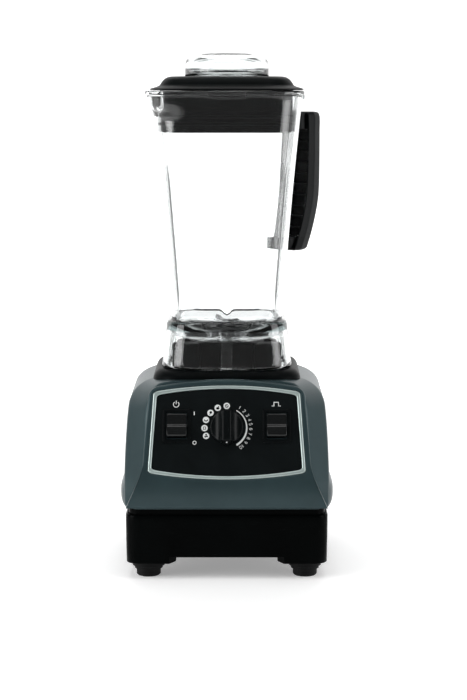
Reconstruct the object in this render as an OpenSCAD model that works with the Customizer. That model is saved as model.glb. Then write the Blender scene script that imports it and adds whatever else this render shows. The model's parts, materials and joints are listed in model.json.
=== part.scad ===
// Countertop blender: a motor base with a sloped control panel, a clear square
// jar that lifts off its centring pad, a blade unit, a lid and a clear cap.
// Frame: +Z up, +X to the user's right, the control panel faces -Y, and the
// origin is on the table under the middle of the base. Heights in the modules
// are measured from the base line, which is stand above the table.

/* [Base] */
// Half width of the grey shell at its foot
shell_hx = 99; // [98:0.5:100]
// Half depth of the grey shell at its foot
shell_hy = 110; // [109:0.5:111]
// Thickness of the moulded walls
wall = 3; // [2.6:0.1:3.4]
// Height of the base line above the table
stand = 7.6; // [7.4:0.1:7.8]
// Height of the seam between lower base and shell, from the base line
seam_z = 60.8; // [60.5:0.1:61]
// Height of the flat that the centring pad lies on, from the base line
deck_z = 173.5; // [173:0.5:174]

/* [Control panel] */
// Lean of the control panel back from vertical
panel_tilt = 21; // [20.5:0.5:21.5]
// Radius of the speed knob
knob_r = 15.8; // [15:0.1:16.2]

/* [Jar] */
// Distance of the motor axis behind the middle of the base
axis_y = 8; // [7:0.5:9]
// Half width of the jar wall at its rim
jar_top_hx = 73.8; // [73.4:0.1:74.2]
// Half width of the jar wall just above its skirt
jar_low_hx = 54.4; // [54:0.1:55]
// Thickness of the jar wall
jar_wall = 3.4; // [3:0.1:3.6]
// Height of the jar rim above the base line
rim_z = 457; // [456:0.5:458]

/* [Lid] */
// Radius of the clear cap
cap_r = 41.5; // [41:0.1:42]
// Height of the cap above the rim
cap_rise = 36; // [35:0.5:37]

/* [Motor] */
// Radius of the motor shaft
shaft_r = 4; // [3.9:0.05:4.1]
// Radius of the stator
stator_r = 46; // [45:0.5:46]
// Radius of the cooling fan
fan_r = 43; // [40:1:44]

/* [Hidden] */
$fn = 48;
fit = 0.05;      // radial clearance of parts that turn or are pressed together
gap = 0.3;       // clearance between curved faces of different bodies
slate = "#37474d";
black = "#141618";
steel = "#b9bcc0";
silver = "#a9b4b4";
clear = [0.86, 0.9, 0.9, 0.35];
copper = "#b06a34";

// Heights up the base
foot_h = 7.4;
floor_z = 13.8;
rabbet_z = 55.3;
pad_top_z = 187.4;
// Plan of the lower base
low_hx = 97;
low_hy = 108;
low_r = 13;
// Side profile of the front of the shell
kink_z = 85.2;
kink_y = -108.875;
bezel_top_z = 181;
bezel_proud = 2.5;
// Centre of the control panel on its plane, and its outline on that plane
panel_mid_z = 134.2;
panel_mid_y = kink_y + (panel_mid_z - kink_z) * tan(panel_tilt);
panel_top_hx = 70.7;
panel_bottom_hx = 75.6;
panel_top_s = 44.4;
panel_bottom_s = -47.6;
panel_top_sag = 6.2;
panel_bottom_sag = 6.4;
trim_w = 3.5;
// Places of the controls on the panel, from its centre
knob_s = 2.9;
switch_x = 48;
switch_s = 4.6;
switch_hx = 13.4;
switch_hs = 16.4;
switch_well = 13.1;
rocker_hx = 9.4;
rocker_pivot_n = -3;
pin_r = 1.5;
// Centring pad
pad_hx = 72.5;
pad_r = 28;
block_hx = 54;
block_top_z = 212.5;
well_r = 33;
well_floor_z = 180;
// Jar
skirt_z = pad_top_z + 0.2;
skirt_hx = 63.8;
ledge_z = 230.5;
ledge_hx = 59;
bowl_z = 214;
bowl_r = 28;
rim_hx = 75.4;
lid_hx = 74.4;
rim_h = 4.6;
lug_h = 8.4;
lug_w = 36;
rib_w = 10.6;
// Lid
plug_z = rim_z - 40;
lid_top_z = rim_z + 13.8;
plug_hx = 64;
collar_r = 32;
// Motor stack
fan_z = 40;
lower_bracket_z = 56;
comm_z = 65.5;
stator_z = 92;
stator_h = 50;
upper_bracket_z = 156;
socket_z = 183;
socket_top_z = 199;
// Screw places: shell posts and feet
post_x = 86.8;
post_y = [-58, 58];
foot_x = 75.6;
foot_y = 86;

// ---------------------------------------------------------------- helpers
function arc(c, r, a0, a1, n) =
    [for (i = [0:n]) let (a = a0 + (a1 - a0) * i / n) c + r * [cos(a), sin(a)]];
// Outline of a square-cornered plan with round corners, as points in order
function plan(hx, hy, r, n = 7) = concat(
    arc([hx - r, -hy + r], r, -90, 0, n),
    arc([hx - r, hy - r], r, 0, 90, n),
    arc([-hx + r, hy - r], r, 90, 180, n),
    arc([-hx + r, -hy + r], r, 180, 270, n));
function at_z(points, z) = [for (p = points) [p[0], p[1], z]];
// Arched edge from (-hx, s0) to (hx, s0) that rises by sag in the middle
function arch(hx, s0, sag, n = 16) =
    let (r = (hx * hx + sag * sag) / (2 * abs(sag)))
    [for (i = [0:n])
        let (x = -hx + 2 * hx * i / n)
        [x, s0 + sign(sag) * (sqrt(r * r - x * x) - (r - abs(sag)))]];

// Solid through a stack of rings that all have the same number of points
module loft(rings) {
    n = len(rings[0]);
    m = len(rings);
    polyhedron(
        points = [for (ring = rings) each ring],
        faces = concat(
            [[for (i = [n - 1:-1:0]) n - 1 - i]],
            [for (j = [0:m - 2]) for (i = [0:n - 1])
                [j * n + i, (j + 1) * n + i, (j + 1) * n + (i + 1) % n, j * n + (i + 1) % n]],
            [[for (i = [n - 1:-1:0]) (m - 1) * n + i]]));
}
// Takes its children as one mesh, with the shape unchanged
module as_mesh() { resize([0, 0, 0]) children(); }
module tube(r_out, r_in, h) {
    difference() {
        cylinder(r = r_out, h = h);
        translate([0, 0, -1]) cylinder(r = r_in, h = h + 2);
    }
}
// Lifts what is measured from the base line to its place above the table
module raised() { translate([0, 0, stand]) children(); }
module on_axis() { translate([0, axis_y, 0]) children(); }
// Puts children in the panel's own frame: X right, Y up the slope, Z out
module on_panel() {
    translate([0, panel_mid_y, panel_mid_z]) rotate([90 - panel_tilt, 0, 0]) children();
}
module prism(points, z0, z1) { translate([0, 0, z0]) linear_extrude(z1 - z0) polygon(points); }
module pan_screw(r, head_r, head_h, length) {
    cylinder(r = head_r, h = head_h);
    translate([0, 0, head_h - 0.01]) cylinder(r = r, h = length);
}
module at_posts() {
    for (x = [-post_x, post_x], y = post_y) translate([x, y, 0]) children();
}
module at_feet() {
    for (x = [-foot_x, foot_x], y = [-foot_y, foot_y]) translate([x, y, 0]) children();
}

// ---------------------------------------------------------------- base
module feet() {
    color(black) at_feet() difference() {
        rotate_extrude() polygon([
            [0, -stand], [10.3, -stand], [11.7, 1.4 - stand], [11.7, 6.8 - stand], [13.6, 7.2 - stand],
            [13.6, 9.4 - stand], [15.6, 10 - stand], [15.6, foot_h], [0, foot_h]]);
        translate([0, 0, -stand - 1]) cylinder(r = 4.4, h = 7);
        translate([0, 0, -stand]) cylinder(r = 2.2, h = foot_h + stand + 1);
    }
}
module foot_screws() {
    color(steel) at_feet() translate([0, 0, 3.5 - stand]) pan_screw(2, 4, 2.4, 20.4);
}
// Lower base: a tray with four hollow-backed corner legs and vents under the fan
module lower_base() {
    color(black) difference() {
        union() {
            prism(plan(low_hx, low_hy, low_r), floor_z, rabbet_z);
            prism(plan(low_hx - 2, low_hy - 4, low_r - 2), rabbet_z - 1, seam_z + 5);
            intersection() {
                prism(plan(low_hx - 0.6, low_hy - 0.6, low_r), foot_h, floor_z + 1);
                for (x = [-1, 1], y = [-1, 1]) {
                    translate([x * 78 - 22.5, y * 103 - 6, foot_h - 1]) cube([45, 12, 12]);
                    translate([x * 92 - 6, y * 88 - 22, foot_h - 1]) cube([12, 44, 12]);
                    translate([x * foot_x, y * foot_y, foot_h - 1]) cylinder(r = 17.5, h = 12);
                }
            }
        }
        difference() {
            prism(plan(low_hx - 2 - wall, low_hy - 4 - wall, low_r - 5), floor_z + wall, seam_z + 6);
            at_feet() translate([0, 0, floor_z]) cylinder(r = 6, h = 12);
        }
        at_feet() translate([0, 0, foot_h - 1]) cylinder(r = 2.05, h = 16);
        at_posts() translate([0, 0, floor_z - 1]) cylinder(r = 2.2, h = wall + 2);
        on_axis() for (a = [0:20:340]) rotate([0, 0, a])
            translate([16, -1.8, floor_z - 1]) cube([24, 3.6, wall + 2]);
    }
}
module housing_screws() {
    color(steel) at_posts() translate([0, 0, floor_z - 2.5]) pan_screw(2, 3.8, 2.5, 16);
}

// Side profile of the shell, front face moved back by inset
function side_profile(inset) =
    let (back = inset / cos(panel_tilt), lean = tan(panel_tilt))
    [[-shell_hy + back, seam_z], [kink_y + back, kink_z],
     [kink_y + back + (bezel_top_z + 4 - kink_z) * lean, bezel_top_z + 4],
     [78 - inset, bezel_top_z + 4], [shell_hy - 14 - inset, 158], [shell_hy - 3 - inset, 120],
     [shell_hy - inset, seam_z]];
// Front profile of the shell: flat top, round shoulders, nearly upright sides
function shoulder(inset) = [
    [shell_hx - 0.5 - inset, seam_z], [shell_hx - inset, 85], [shell_hx - 0.6 - inset, 110],
    [shell_hx - 1.8 - inset, 140], [shell_hx - 3 - inset, 153.5], [shell_hx - 5 - inset, 162],
    [shell_hx - 11 - inset, 168.7 - inset], [shell_hx - 16 - inset, 172.4 - inset],
    [shell_hx - 22 - inset, 175.5 - inset], [shell_hx - 31 - inset, 178 - inset], [54, 179.4 - inset]];
function front_profile(inset) = concat(
    shoulder(inset),
    [for (i = [len(shoulder(inset)) - 1:-1:0]) [-shoulder(inset)[i][0], shoulder(inset)[i][1]]]);
module shell_block(inset, side_inset) {
    intersection() {
        translate([-120, 0, 0]) rotate([90, 0, 90]) linear_extrude(240) polygon(side_profile(side_inset));
        translate([0, 130, 0]) rotate([90, 0, 0]) linear_extrude(260) polygon(front_profile(inset));
        prism(plan(shell_hx + 1 - inset, shell_hy + 1 - inset, 16 - inset), seam_z, bezel_top_z + 5);
    }
}
// What is cut off each front corner above the lower front face
module corner_cut(inset) {
    lean = (bezel_top_z - kink_z) * tan(panel_tilt);
    top = bezel_top_z - kink_z;
    for (m = [0, 1]) mirror([m, 0, 0]) translate([-inset * 0.7, inset * 0.7, 0]) hull()
        for (p = [[78, -106, 101, -84, 0, 70], [75, -106 + lean, 99, -74 + lean, top + 20, 70]])
            translate([0, 0, p[5] + p[4]]) linear_extrude(0.01)
                polygon([[p[0], p[1]], [p[2], p[3]], [130, p[3]], [130, -135], [p[0], -135]]);
}
// Raised bezel with the lower front face, seen from the front
function bezel_outline() = concat(
    [[97, seam_z], [91, 78], [79.4, 97], [76, 172]],
    [for (i = [0:12]) let (x = 73 - 146 * i / 12) [x, bezel_top_z - (x / 73) ^ 2 * 7]],
    [[-76, 172], [-79.4, 97], [-91, 78], [-97, seam_z]]);
module bezel_block() {
    intersection() {
        difference() {
            translate([-120, 0, 0]) rotate([90, 0, 90]) linear_extrude(240) polygon(side_profile(0));
            translate([-121, 0, 0]) rotate([90, 0, 90]) linear_extrude(242)
                polygon([for (p = side_profile(6)) [p[0] > 0 ? 200 : p[0], p[1] < 65 ? 60 : p[1] + 3]]);
        }
        translate([0, 0, 0]) rotate([90, 0, 0]) linear_extrude(130) polygon(bezel_outline());
        prism(plan(shell_hx, shell_hy, 13), seam_z, bezel_top_z + 5);
    }
}
// Outline of the control panel on its plane
function panel_outline() = concat(
    arch(panel_top_hx, panel_top_s - panel_top_sag, panel_top_sag),
    [for (p = arch(panel_bottom_hx, panel_bottom_s + panel_bottom_sag, -panel_bottom_sag)) [-p[0], p[1]]]);
module panel_plate(inset, n0, n1) {
    on_panel() translate([0, 0, n0]) linear_extrude(n1 - n0)
        offset(r = 4 - inset / 2) offset(delta = -4 - inset / 2) polygon(panel_outline());
}
module shell_posts() {
    for (x = [-1, 1], y = post_y) {
        translate([x * post_x, y, floor_z + wall + 0.1]) cylinder(r = 4.6, h = 100);
        translate([x > 0 ? post_x : -shell_hx + 1.5, y - 1.5, seam_z + 8]) cube([shell_hx - post_x - 1.5, 3, 60]);
    }
}
module upper_shell() {
    color(slate) difference() {
        union() {
            difference() {
                union() {
                    difference() {
                        shell_block(0, bezel_proud);
                        corner_cut(0);
                    }
                    bezel_block();
                }
                difference() {
                    shell_block(wall, bezel_proud + wall + 2);
                    corner_cut(wall + 2);
                }
                translate([0, 0, seam_z - 1]) prism(plan(shell_hx - wall - 0.5, shell_hy - wall - 2.2, 10), 0, 10);
            }
            shell_posts();
        }
        // flat for the pad, and the hole for the drive
        on_axis() prism(plan(pad_hx + 0.2, pad_hx + 0.2, pad_r), deck_z, deck_z + 20);
        on_axis() translate([0, 0, deck_z - 20]) cylinder(r = 20, h = 40);
        on_axis() for (a = [45:90:315]) rotate([0, 0, a])
            translate([27, 0, deck_z - 20]) cylinder(r = 2.2, h = 40);
        // recess for the trim, and the window behind the panel
        panel_plate(0, -3.2, 10);
        panel_plate(5.5, -20, 10);
        at_posts() translate([0, 0, floor_z]) cylinder(r = 2.05, h = 20);
        translate([0, shell_hy - 20, 80]) rotate([-90, 0, 0]) cylinder(r = 7.05, h = 30);
    }
}
// Pillow-shaped grip on each side, over the seam
module side_grips() {
    long = 46;
    deep = 9;
    tall = 19;
    mid_z = 61;
    r_plan = (long * long + deep * deep) / (2 * deep);
    r_up = (tall * tall + deep * deep) / (2 * deep);
    color(slate) for (m = [0, 1]) mirror([m, 0, 0]) difference() {
        intersection() {
            translate([shell_hx - 1.5, 0, mid_z - 30]) translate([deep - r_plan, 0, 0])
                cylinder(r = r_plan, h = 60, $fn = 96);
            translate([shell_hx - 1.5 + deep - r_up, 80, mid_z]) rotate([90, 0, 0])
                cylinder(r = r_up, h = 160, $fn = 96);
            translate([shell_hx - 6, -60, 20]) cube([30, 120, 90]);
        }
        shell_block(-0.05, -0.05);
        prism(plan(low_hx + 0.05, low_hy + 0.05, low_r), 0, rabbet_z + 0.05);
        prism(plan(low_hx, low_hy, low_r - 2), rabbet_z, seam_z);
        translate([0, -80, 0]) cube([shell_hx - 2, 160, 120]);
    }
}
module cord_inlet() {
    color(black) translate([0, shell_hy - 6, 80]) rotate([-90, 0, 0]) difference() {
        union() {
            translate([0, 0, -4]) cylinder(r = 7, h = 10);
            translate([0, 0, -7.2]) cylinder(r = 9.5, h = 4);
        }
        translate([0, 0, -8]) cylinder(r = 3.6, h = 20);
    }
}

// ---------------------------------------------------------------- controls
module control_panel() {
    color(black) difference() {
        panel_plate(trim_w + 0.1, -3.1, -0.6);
        on_panel() {
            for (x = [-switch_x, switch_x]) translate([x, switch_s, 0])
                cube([2 * switch_hx - 3, 2 * switch_well + 1.6, 20], center = true);
            translate([0, knob_s, -10]) cylinder(r = 4.6, h = 20);
        }
    }
}
module panel_trim() {
    color(silver) difference() {
        panel_plate(0.1, -3.1, 0.7);
        panel_plate(trim_w, -4, 2);
    }
}
module switch_housing() {
    difference() {
        union() {
            translate([0, 0, -0.1]) cube([2 * switch_hx, 2 * switch_hs, 1], center = true);
            translate([-switch_hx + 1.6, -switch_well - 0.7, -17])
                cube([2 * switch_hx - 3.2, 2 * switch_well + 1.4, 17]);
        }
        translate([-rocker_hx - 0.4, -switch_well, -13]) cube([2 * rocker_hx + 0.8, 2 * switch_well, 20]);
        translate([-20, 0, rocker_pivot_n]) rotate([0, 90, 0]) cylinder(r = pin_r + fit, h = 40);
    }
    for (s = [-7, 0, 7]) translate([-3, s - 0.4, -23]) cube([6, 0.8, 6.5]);
}
module power_switch_housing() {
    color(black) on_panel() translate([-switch_x, switch_s, 0]) switch_housing();
}
module pulse_switch_housing() {
    color(black) on_panel() translate([switch_x, switch_s, 0]) switch_housing();
}
// Paddle seen from its side: up the slope, then out
rocker_side = [[12.2, -1.5], [12.2, 0.6], [11.4, 2.1], [10, 2.3], [2.4, 0.7], [0.9, 1], [-0.3, 3],
    [-9, 5.4], [-10.4, 4.6], [-11.4, 2.6], [-12, -1.5], [-7.5, -7.5], [7.5, -7.5]];
module rocker() {
    translate([-rocker_hx, 0, 0]) rotate([90, 0, 90]) linear_extrude(2 * rocker_hx) polygon(rocker_side);
    translate([-rocker_hx - 1.4, 0, rocker_pivot_n]) rotate([0, 90, 0]) cylinder(r = pin_r, h = 2 * rocker_hx + 2.8);
}
module power_rocker() { color(black) on_panel() translate([-switch_x, switch_s, 0]) rocker(); }
module pulse_rocker() { color(black) on_panel() translate([switch_x, switch_s, 0]) rocker(); }
module at_knob() { on_panel() translate([0, knob_s, 0]) children(); }
// Knob: a disc with a grip bar left between two scoops
module speed_knob() {
    color(black) at_knob() difference() {
        union() {
            translate([0, 0, 0.4]) cylinder(r1 = knob_r, r2 = knob_r - 0.6, h = 14);
            translate([0, 0, 0.4]) prism([[-7, -13.5], [7, -13.5], [0.9, -knob_r - 2], [-0.9, -knob_r - 2]], 0, 9);
        }
        for (x = [-1, 1]) translate([x * 14, -20, 14.6]) rotate([-90, 0, 0]) cylinder(r = 9.5, h = 40);
        translate([0, 0, -0.1]) cylinder(r = 12.5, h = 2.4);
        cylinder(r = 3 + fit, h = 10);
    }
}
module knob_pointer() {
    color("white") at_knob() translate([0, -knob_r - 0.4, 9.42]) cylinder(r = 0.7, h = 0.4);
}
module knob_shaft() { color(steel) at_knob() translate([0, 0, -6]) cylinder(r = 3, h = 15.5); }
module speed_control() {
    color("#7a8a5a") at_knob() difference() {
        union() {
            translate([0, 0, -13.5]) cylinder(r = 8.5, h = 10);
            translate([0, 0, -4]) cylinder(r = 4.5, h = 4.2);
            translate([-5, -16, -12]) cube([10, 10, 1.6]);
        }
        translate([0, 0, -6.5]) cylinder(r = 3 + fit, h = 20);
    }
}
module control_nut() {
    color(steel) at_knob() translate([0, 0, -0.55]) difference() {
        cylinder(r = 7, h = 1.9, $fn = 6);
        translate([0, 0, -1]) cylinder(r = 4.5 + fit, h = 4);
    }
}
module circuit_board() {
    color("#2f5d3a") on_panel() translate([-38, -41, -21]) cube([76, 30, 1.6]);
}
module board_parts() {
    color("#4a4f55") on_panel() {
        translate([-32, -37, -33]) cube([14, 20, 11.95]);
        translate([-8, -34, -29]) cube([18, 14, 7.95]);
        translate([24, -27, -35]) cylinder(r = 6.5, h = 13.95);
    }
}

// ---------------------------------------------------------------- centring pad
module centering_pad() {
    color(black) on_axis() difference() {
        union() {
            as_mesh() loft([
                at_z(plan(pad_hx, pad_hx, pad_r), deck_z),
                at_z(plan(pad_hx - 0.3, pad_hx - 0.3, pad_r), pad_top_z - 9),
                at_z(plan(pad_hx - 1.2, pad_hx - 1.2, pad_r - 1), pad_top_z - 6),
                at_z(plan(pad_hx - 3.2, pad_hx - 3.2, pad_r - 2), pad_top_z - 3),
                at_z(plan(pad_hx - 6.2, pad_hx - 6.2, pad_r - 3), pad_top_z - 0.8),
                at_z(plan(pad_hx - 8.2, pad_hx - 8.2, pad_r - 4), pad_top_z)]);
            prism(plan(block_hx, block_hx, 22), pad_top_z - 1, block_top_z);
        }
        translate([0, 0, well_floor_z]) cylinder(r = well_r, h = 60);
        translate([0, 0, block_top_z - 2.5]) cylinder(r1 = well_r, r2 = well_r + 6, h = 3);
        translate([0, 0, deck_z - 1]) cylinder(r = 15, h = 60);
        for (a = [0:90:270]) rotate([0, 0, a]) translate([38.5, -26, pad_top_z]) cube([40, 52, 60]);
        for (a = [45:90:315]) rotate([0, 0, a]) translate([27, 0, deck_z - 1]) cylinder(r = 2.2, h = 20);
    }
}
module pad_screws() {
    color(steel) on_axis() for (a = [45:90:315]) rotate([0, 0, a])
        translate([27, 0, well_floor_z + 2.6]) mirror([0, 0, 1]) pan_screw(2, 4.2, 2.6, 18);
}

// ---------------------------------------------------------------- motor
module motor_shaft() { color(steel) on_axis() translate([0, 0, fan_z - 3]) cylinder(r = shaft_r, h = 153); }
// Twelve-tooth spline outline
function spline(r_out, r_in) =
    [for (i = [0:47]) let (a = i * 7.5, r = (i % 4 < 2) ? r_out : r_in) [r * cos(a), r * sin(a)]];
module drive_socket() {
    color(steel) on_axis() difference() {
        union() {
            translate([0, 0, socket_z]) cylinder(r = 11.5, h = socket_top_z - socket_z);
            translate([0, 0, socket_z - 6]) cylinder(r = 8, h = 7);
        }
        translate([0, 0, socket_z - 8]) cylinder(r = shaft_r + fit, h = 15.1);
        prism(spline(6.9, 5.8), socket_z + 7, socket_top_z + 1);
    }
}
module rotor_core() {
    color("#8b9097") on_axis() translate([0, 0, stator_z - 1]) difference() {
        cylinder(r = 26.5, h = stator_h + 2);
        translate([0, 0, -1]) cylinder(r = shaft_r + fit, h = stator_h + 4);
        for (a = [0:30:330]) rotate([0, 0, a]) translate([22, -1, -1]) cube([6, 2, stator_h + 4]);
    }
}
module rotor_windings() {
    color(copper) on_axis() for (z = [stator_z - 7.5, stator_z + stator_h + 1.1])
        translate([0, 0, z]) rotate_extrude() polygon([[shaft_r + 1, 0], [18, 0], [21, 2], [21, 4.4], [18, 6.4], [shaft_r + 1, 6.4]]);
}
module commutator() {
    color(copper) on_axis() translate([0, 0, comm_z]) difference() {
        cylinder(r = 13, h = 18);
        translate([0, 0, -1]) cylinder(r = shaft_r + fit, h = 20);
        for (a = [0:15:345]) rotate([0, 0, a]) translate([12, -0.3, -1]) cube([2, 0.6, 17]);
    }
}
module cooling_fan() {
    color("#d8d8d2") on_axis() translate([0, 0, fan_z]) difference() {
        union() {
            cylinder(r = 11, h = 13);
            cylinder(r = fan_r, h = 1.6);
            for (a = [0:30:330]) rotate([0, 0, a]) translate([9, -0.8, 0]) rotate([0, 0, 12]) cube([fan_r - 12, 1.6, 12]);
        }
        translate([0, 0, -1]) cylinder(r = shaft_r + fit, h = 20);
    }
}
module stator_core() {
    color("#6f757c") on_axis() translate([0, 0, stator_z]) difference() {
        cylinder(r = stator_r, h = stator_h);
        translate([0, 0, -1]) cylinder(r = 27.4, h = stator_h + 2);
        for (m = [-1, 1]) translate([m > 0 ? 0 : -37, -22, -1]) cube([37, 44, stator_h + 2]);
        for (a = [60, 120, 240, 300]) rotate([0, 0, a]) translate([41.5, 0, -1]) cylinder(r = 2.2, h = stator_h + 2);
    }
}
module field_windings() {
    color(copper) on_axis() difference() {
        union() {
            for (z = [stator_z - 8, stator_z + stator_h + 0.2]) translate([0, 0, z]) tube(36, 27.6, 7.8);
            for (m = [-1, 1]) translate([m * 32 - 4, -21, stator_z - 1]) cube([8, 42, stator_h + 2]);
        }
        translate([0, 0, stator_z - 10]) cylinder(r = 27.5, h = 80);
    }
}
module bracket(z, hub_r, hole_r) {
    on_axis() translate([0, 0, z]) difference() {
        union() {
            for (a = [60, 120]) rotate([0, 0, a]) translate([-46, -6, 0]) cube([92, 12, 5]);
            cylinder(r = hub_r, h = 9);
        }
        translate([0, 0, -1]) cylinder(r = hole_r, h = 12);
        for (a = [60, 120, 240, 300]) rotate([0, 0, a]) translate([41.5, 0, -1]) cylinder(r = 2.2, h = 10);
    }
}
module upper_bracket() {
    color("#9aa0a5") difference() {
        union() {
            bracket(upper_bracket_z, 15, 11 + fit);
            on_axis() for (a = [45:90:315]) rotate([0, 0, a]) translate([27, 0, upper_bracket_z + 2])
                cylinder(r = 5, h = deck_z - 3.2 - upper_bracket_z - 2);
            on_axis() translate([0, 0, upper_bracket_z]) tube(32, 22, 4);
        }
        on_axis() for (a = [45:90:315]) rotate([0, 0, a]) translate([27, 0, upper_bracket_z + 4])
            cylinder(r = 2.05, h = 20);
    }
}
module lower_bracket() { color("#9aa0a5") bracket(lower_bracket_z, 15, 11 + fit); }
module ball_bearing(z) { on_axis() translate([0, 0, z]) tube(11, shaft_r + fit, 7); }
module upper_bearing() { color(steel) ball_bearing(upper_bracket_z + 1); }
module lower_bearing() { color(steel) ball_bearing(lower_bracket_z + 1); }
module brush_holders() {
    color("#c9a24a") on_axis() for (a = [0, 180]) rotate([0, 0, a]) difference() {
        translate([16, -5.2, lower_bracket_z + 9.1]) cube([20, 10.4, 13]);
        translate([15, -3.05, comm_z + 3.45]) cube([30, 6.1, 8.1]);
    }
}
module carbon_brushes() {
    color("#2a2a2c") on_axis() for (a = [0, 180]) rotate([0, 0, a])
        translate([13.25, -3, comm_z + 3.5]) cube([20, 6, 8]);
}
module motor_bolts() {
    color(steel) on_axis() for (a = [60, 120, 240, 300]) rotate([0, 0, a])
        translate([41.5, 0, lower_bracket_z - 3]) pan_screw(2, 3.3, 3, upper_bracket_z - lower_bracket_z + 6);
}
module fan_shroud() {
    color(black) on_axis() translate([0, 0, floor_z + wall + 0.05]) difference() {
        union() {
            tube(47, 45, 37.2);
            tube(52, 44.5, 2);
            for (a = [60, 120, 240, 300]) rotate([0, 0, a]) translate([46, -4, 33.2]) cube([5, 8, 4]);
        }
        translate([-60, -60, 45.2]) cube(120);
    }
}

// ---------------------------------------------------------------- jar
// Jar plan with extra points along the sides; the spout pushes out one corner
function jar_ring(h, r, z, push = 0) =
    let (c = [for (k = [0:3]) arc([h - r, -h + r] , r, -90, 0, 8)],
         quarter = concat(c[0], [for (i = [1:3]) [h, (-h + r) + (2 * h - 2 * r) * i / 4]]),
         whole = [for (k = [0:3]) for (p = quarter)
             [p[0] * cos(90 * k) - p[1] * sin(90 * k), p[0] * sin(90 * k) + p[1] * cos(90 * k)]])
    [for (p = whole)
        let (d = -(p[0] + p[1]) / sqrt(2), t = abs(p[0] - p[1]) / sqrt(2),
             f = d > 0 ? max(0, min(1, (24 - t) / 18)) : 0,
             m = push * f * f * (3 - 2 * f))
        [p[0] - m / sqrt(2), p[1] - m / sqrt(2), z]];
// Half width of the outside of the jar wall at height z
function jar_hx(z) = let (t = (z - ledge_z) / (rim_z - ledge_z))
    jar_low_hx + (jar_top_hx - jar_low_hx) * (0.78 * t + 0.22 * t * t);
function spout(z) = let (t = max(0, min(1, (z - rim_z + 26) / 15))) 11.5 * t * t * (3 - 2 * t);
body_z = [234, 250, 275, 300, 325, 350, 375, 400, 420, rim_z - 22, rim_z - 19.5, rim_z - 17,
    rim_z - 14, rim_z - 11, rim_z - 5.5];
module jar_wall_solid(grow, inner) {
    loft(concat(
        [jar_ring(24, 23.9, bowl_z - 4), jar_ring(48, 32, bowl_z + 3), jar_ring(53, 29, bowl_z + 6),
         jar_ring(56, 27, bowl_z + 11), jar_ring(skirt_hx - jar_wall, 29, skirt_z),
         jar_ring(skirt_hx + grow, 32, skirt_z), jar_ring(ledge_hx + 0.4 + grow, 30, ledge_z),
         jar_ring(ledge_hx - 0.4 + grow, 29.5, ledge_z + 1.4)],
        [for (z = body_z) jar_ring(jar_hx(z) + grow, 0.46 * jar_hx(z), z, spout(z))],
        [for (z = [rim_z - rim_h, rim_z]) jar_ring(rim_hx + grow, 36, z, spout(rim_z))],
        inner ? [for (i = [len(body_z) - 1:-1:0]) let (z = i == len(body_z) - 1 ? rim_z : body_z[i])
            jar_ring(jar_hx(z) - jar_wall, 0.46 * jar_hx(z) - 2, z, spout(z))] : [],
        inner ? [jar_ring(48, 32, bowl_z + 7.5), jar_ring(bowl_r, bowl_r - 0.1, bowl_z)] : []));
}
module jar_rib(long) {
    // upright rib on the inner face of one wall
    hull() {
        translate([jar_hx(245) - jar_wall - 4, -3, 236]) cube([5, 6, 1]);
        translate([jar_hx(245 + long) - jar_wall - 1, -2, 236 + long]) cube([2, 4, 1]);
    }
}
module jar_body() {
    color(clear) on_axis() as_mesh() difference() {
        union() {
            jar_wall_solid(0, true);
            for (a = [0:90:270]) rotate([0, 0, a]) {
                jar_rib(150);
                translate([rim_hx - 5, -lug_w / 2, rim_z - lug_h]) cube([6, lug_w, lug_h]);
            }
            // posts inside the skirt
            for (a = [0:90:270]) rotate([0, 0, a]) hull() {
                translate([skirt_hx - jar_wall - 4.5, -rib_w / 2, skirt_z + 1]) cube([6, rib_w, 1]);
                translate([ledge_hx - jar_wall - 4, -rib_w / 2, bowl_z + 7]) cube([5, rib_w, 1]);
            }
        }
        translate([0, 0, bowl_z - 10]) cylinder(r = 20, h = 30);
    }
}
module at_handle() { on_axis() rotate([0, 0, 45]) rotate([90, 0, 0]) children(); }
module handle_plate(grow, thick) {
    at_handle() translate([0, 0, -thick / 2]) linear_extrude(thick) offset(delta = grow)
        polygon([[66, 434], [111, 434], [119, 428], [119, 350], [105, 312], [101, 297], [64, 297],
            [64, 308], [93, 308], [97, 316], [110, 352], [110, 419], [66, 419]]);
}
module handle_core() {
    color(black) as_mesh() difference() {
        handle_plate(0, 14);
        on_axis() jar_wall_solid(0.06, false);
        at_handle() for (s = [[302.5, 36], [426.5, 50]]) translate([60, s[0], 0]) rotate([0, 90, 0])
            cylinder(r = 2.1, h = s[1], $fn = 24);
    }
}
// Radial centre, half depth and half width of the grip at each height
grip = [[294, 97.5, 10.5, 10.5], [297, 98.5, 11.5, 12], [312, 104, 11.5, 13], [330, 109.5, 11.5, 13.6],
    [350, 113.6, 11.5, 14], [380, 114.8, 11.2, 14.2], [415, 115.2, 10.8, 14.2], [432, 115, 11, 14],
    [436, 114.5, 9.5, 12.6]];
module handle_grip() {
    color("#24282b") difference() {
        on_axis() rotate([0, 0, 45]) loft([for (g = grip)
            [for (p = plan(g[2], g[3], 6, 4)) [p[0] + g[1], p[1], g[0]]]]);
        handle_plate(0.05, 14.1);
    }
}
module handle_screws() {
    color(steel) at_handle() for (s = [[302.5, 76.5, 92.5], [426.5, 91, 108.5]])
        translate([s[2], s[0], 0]) rotate([0, -90, 0]) cylinder(r = 2, h = s[2] - s[1]);
}

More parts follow.
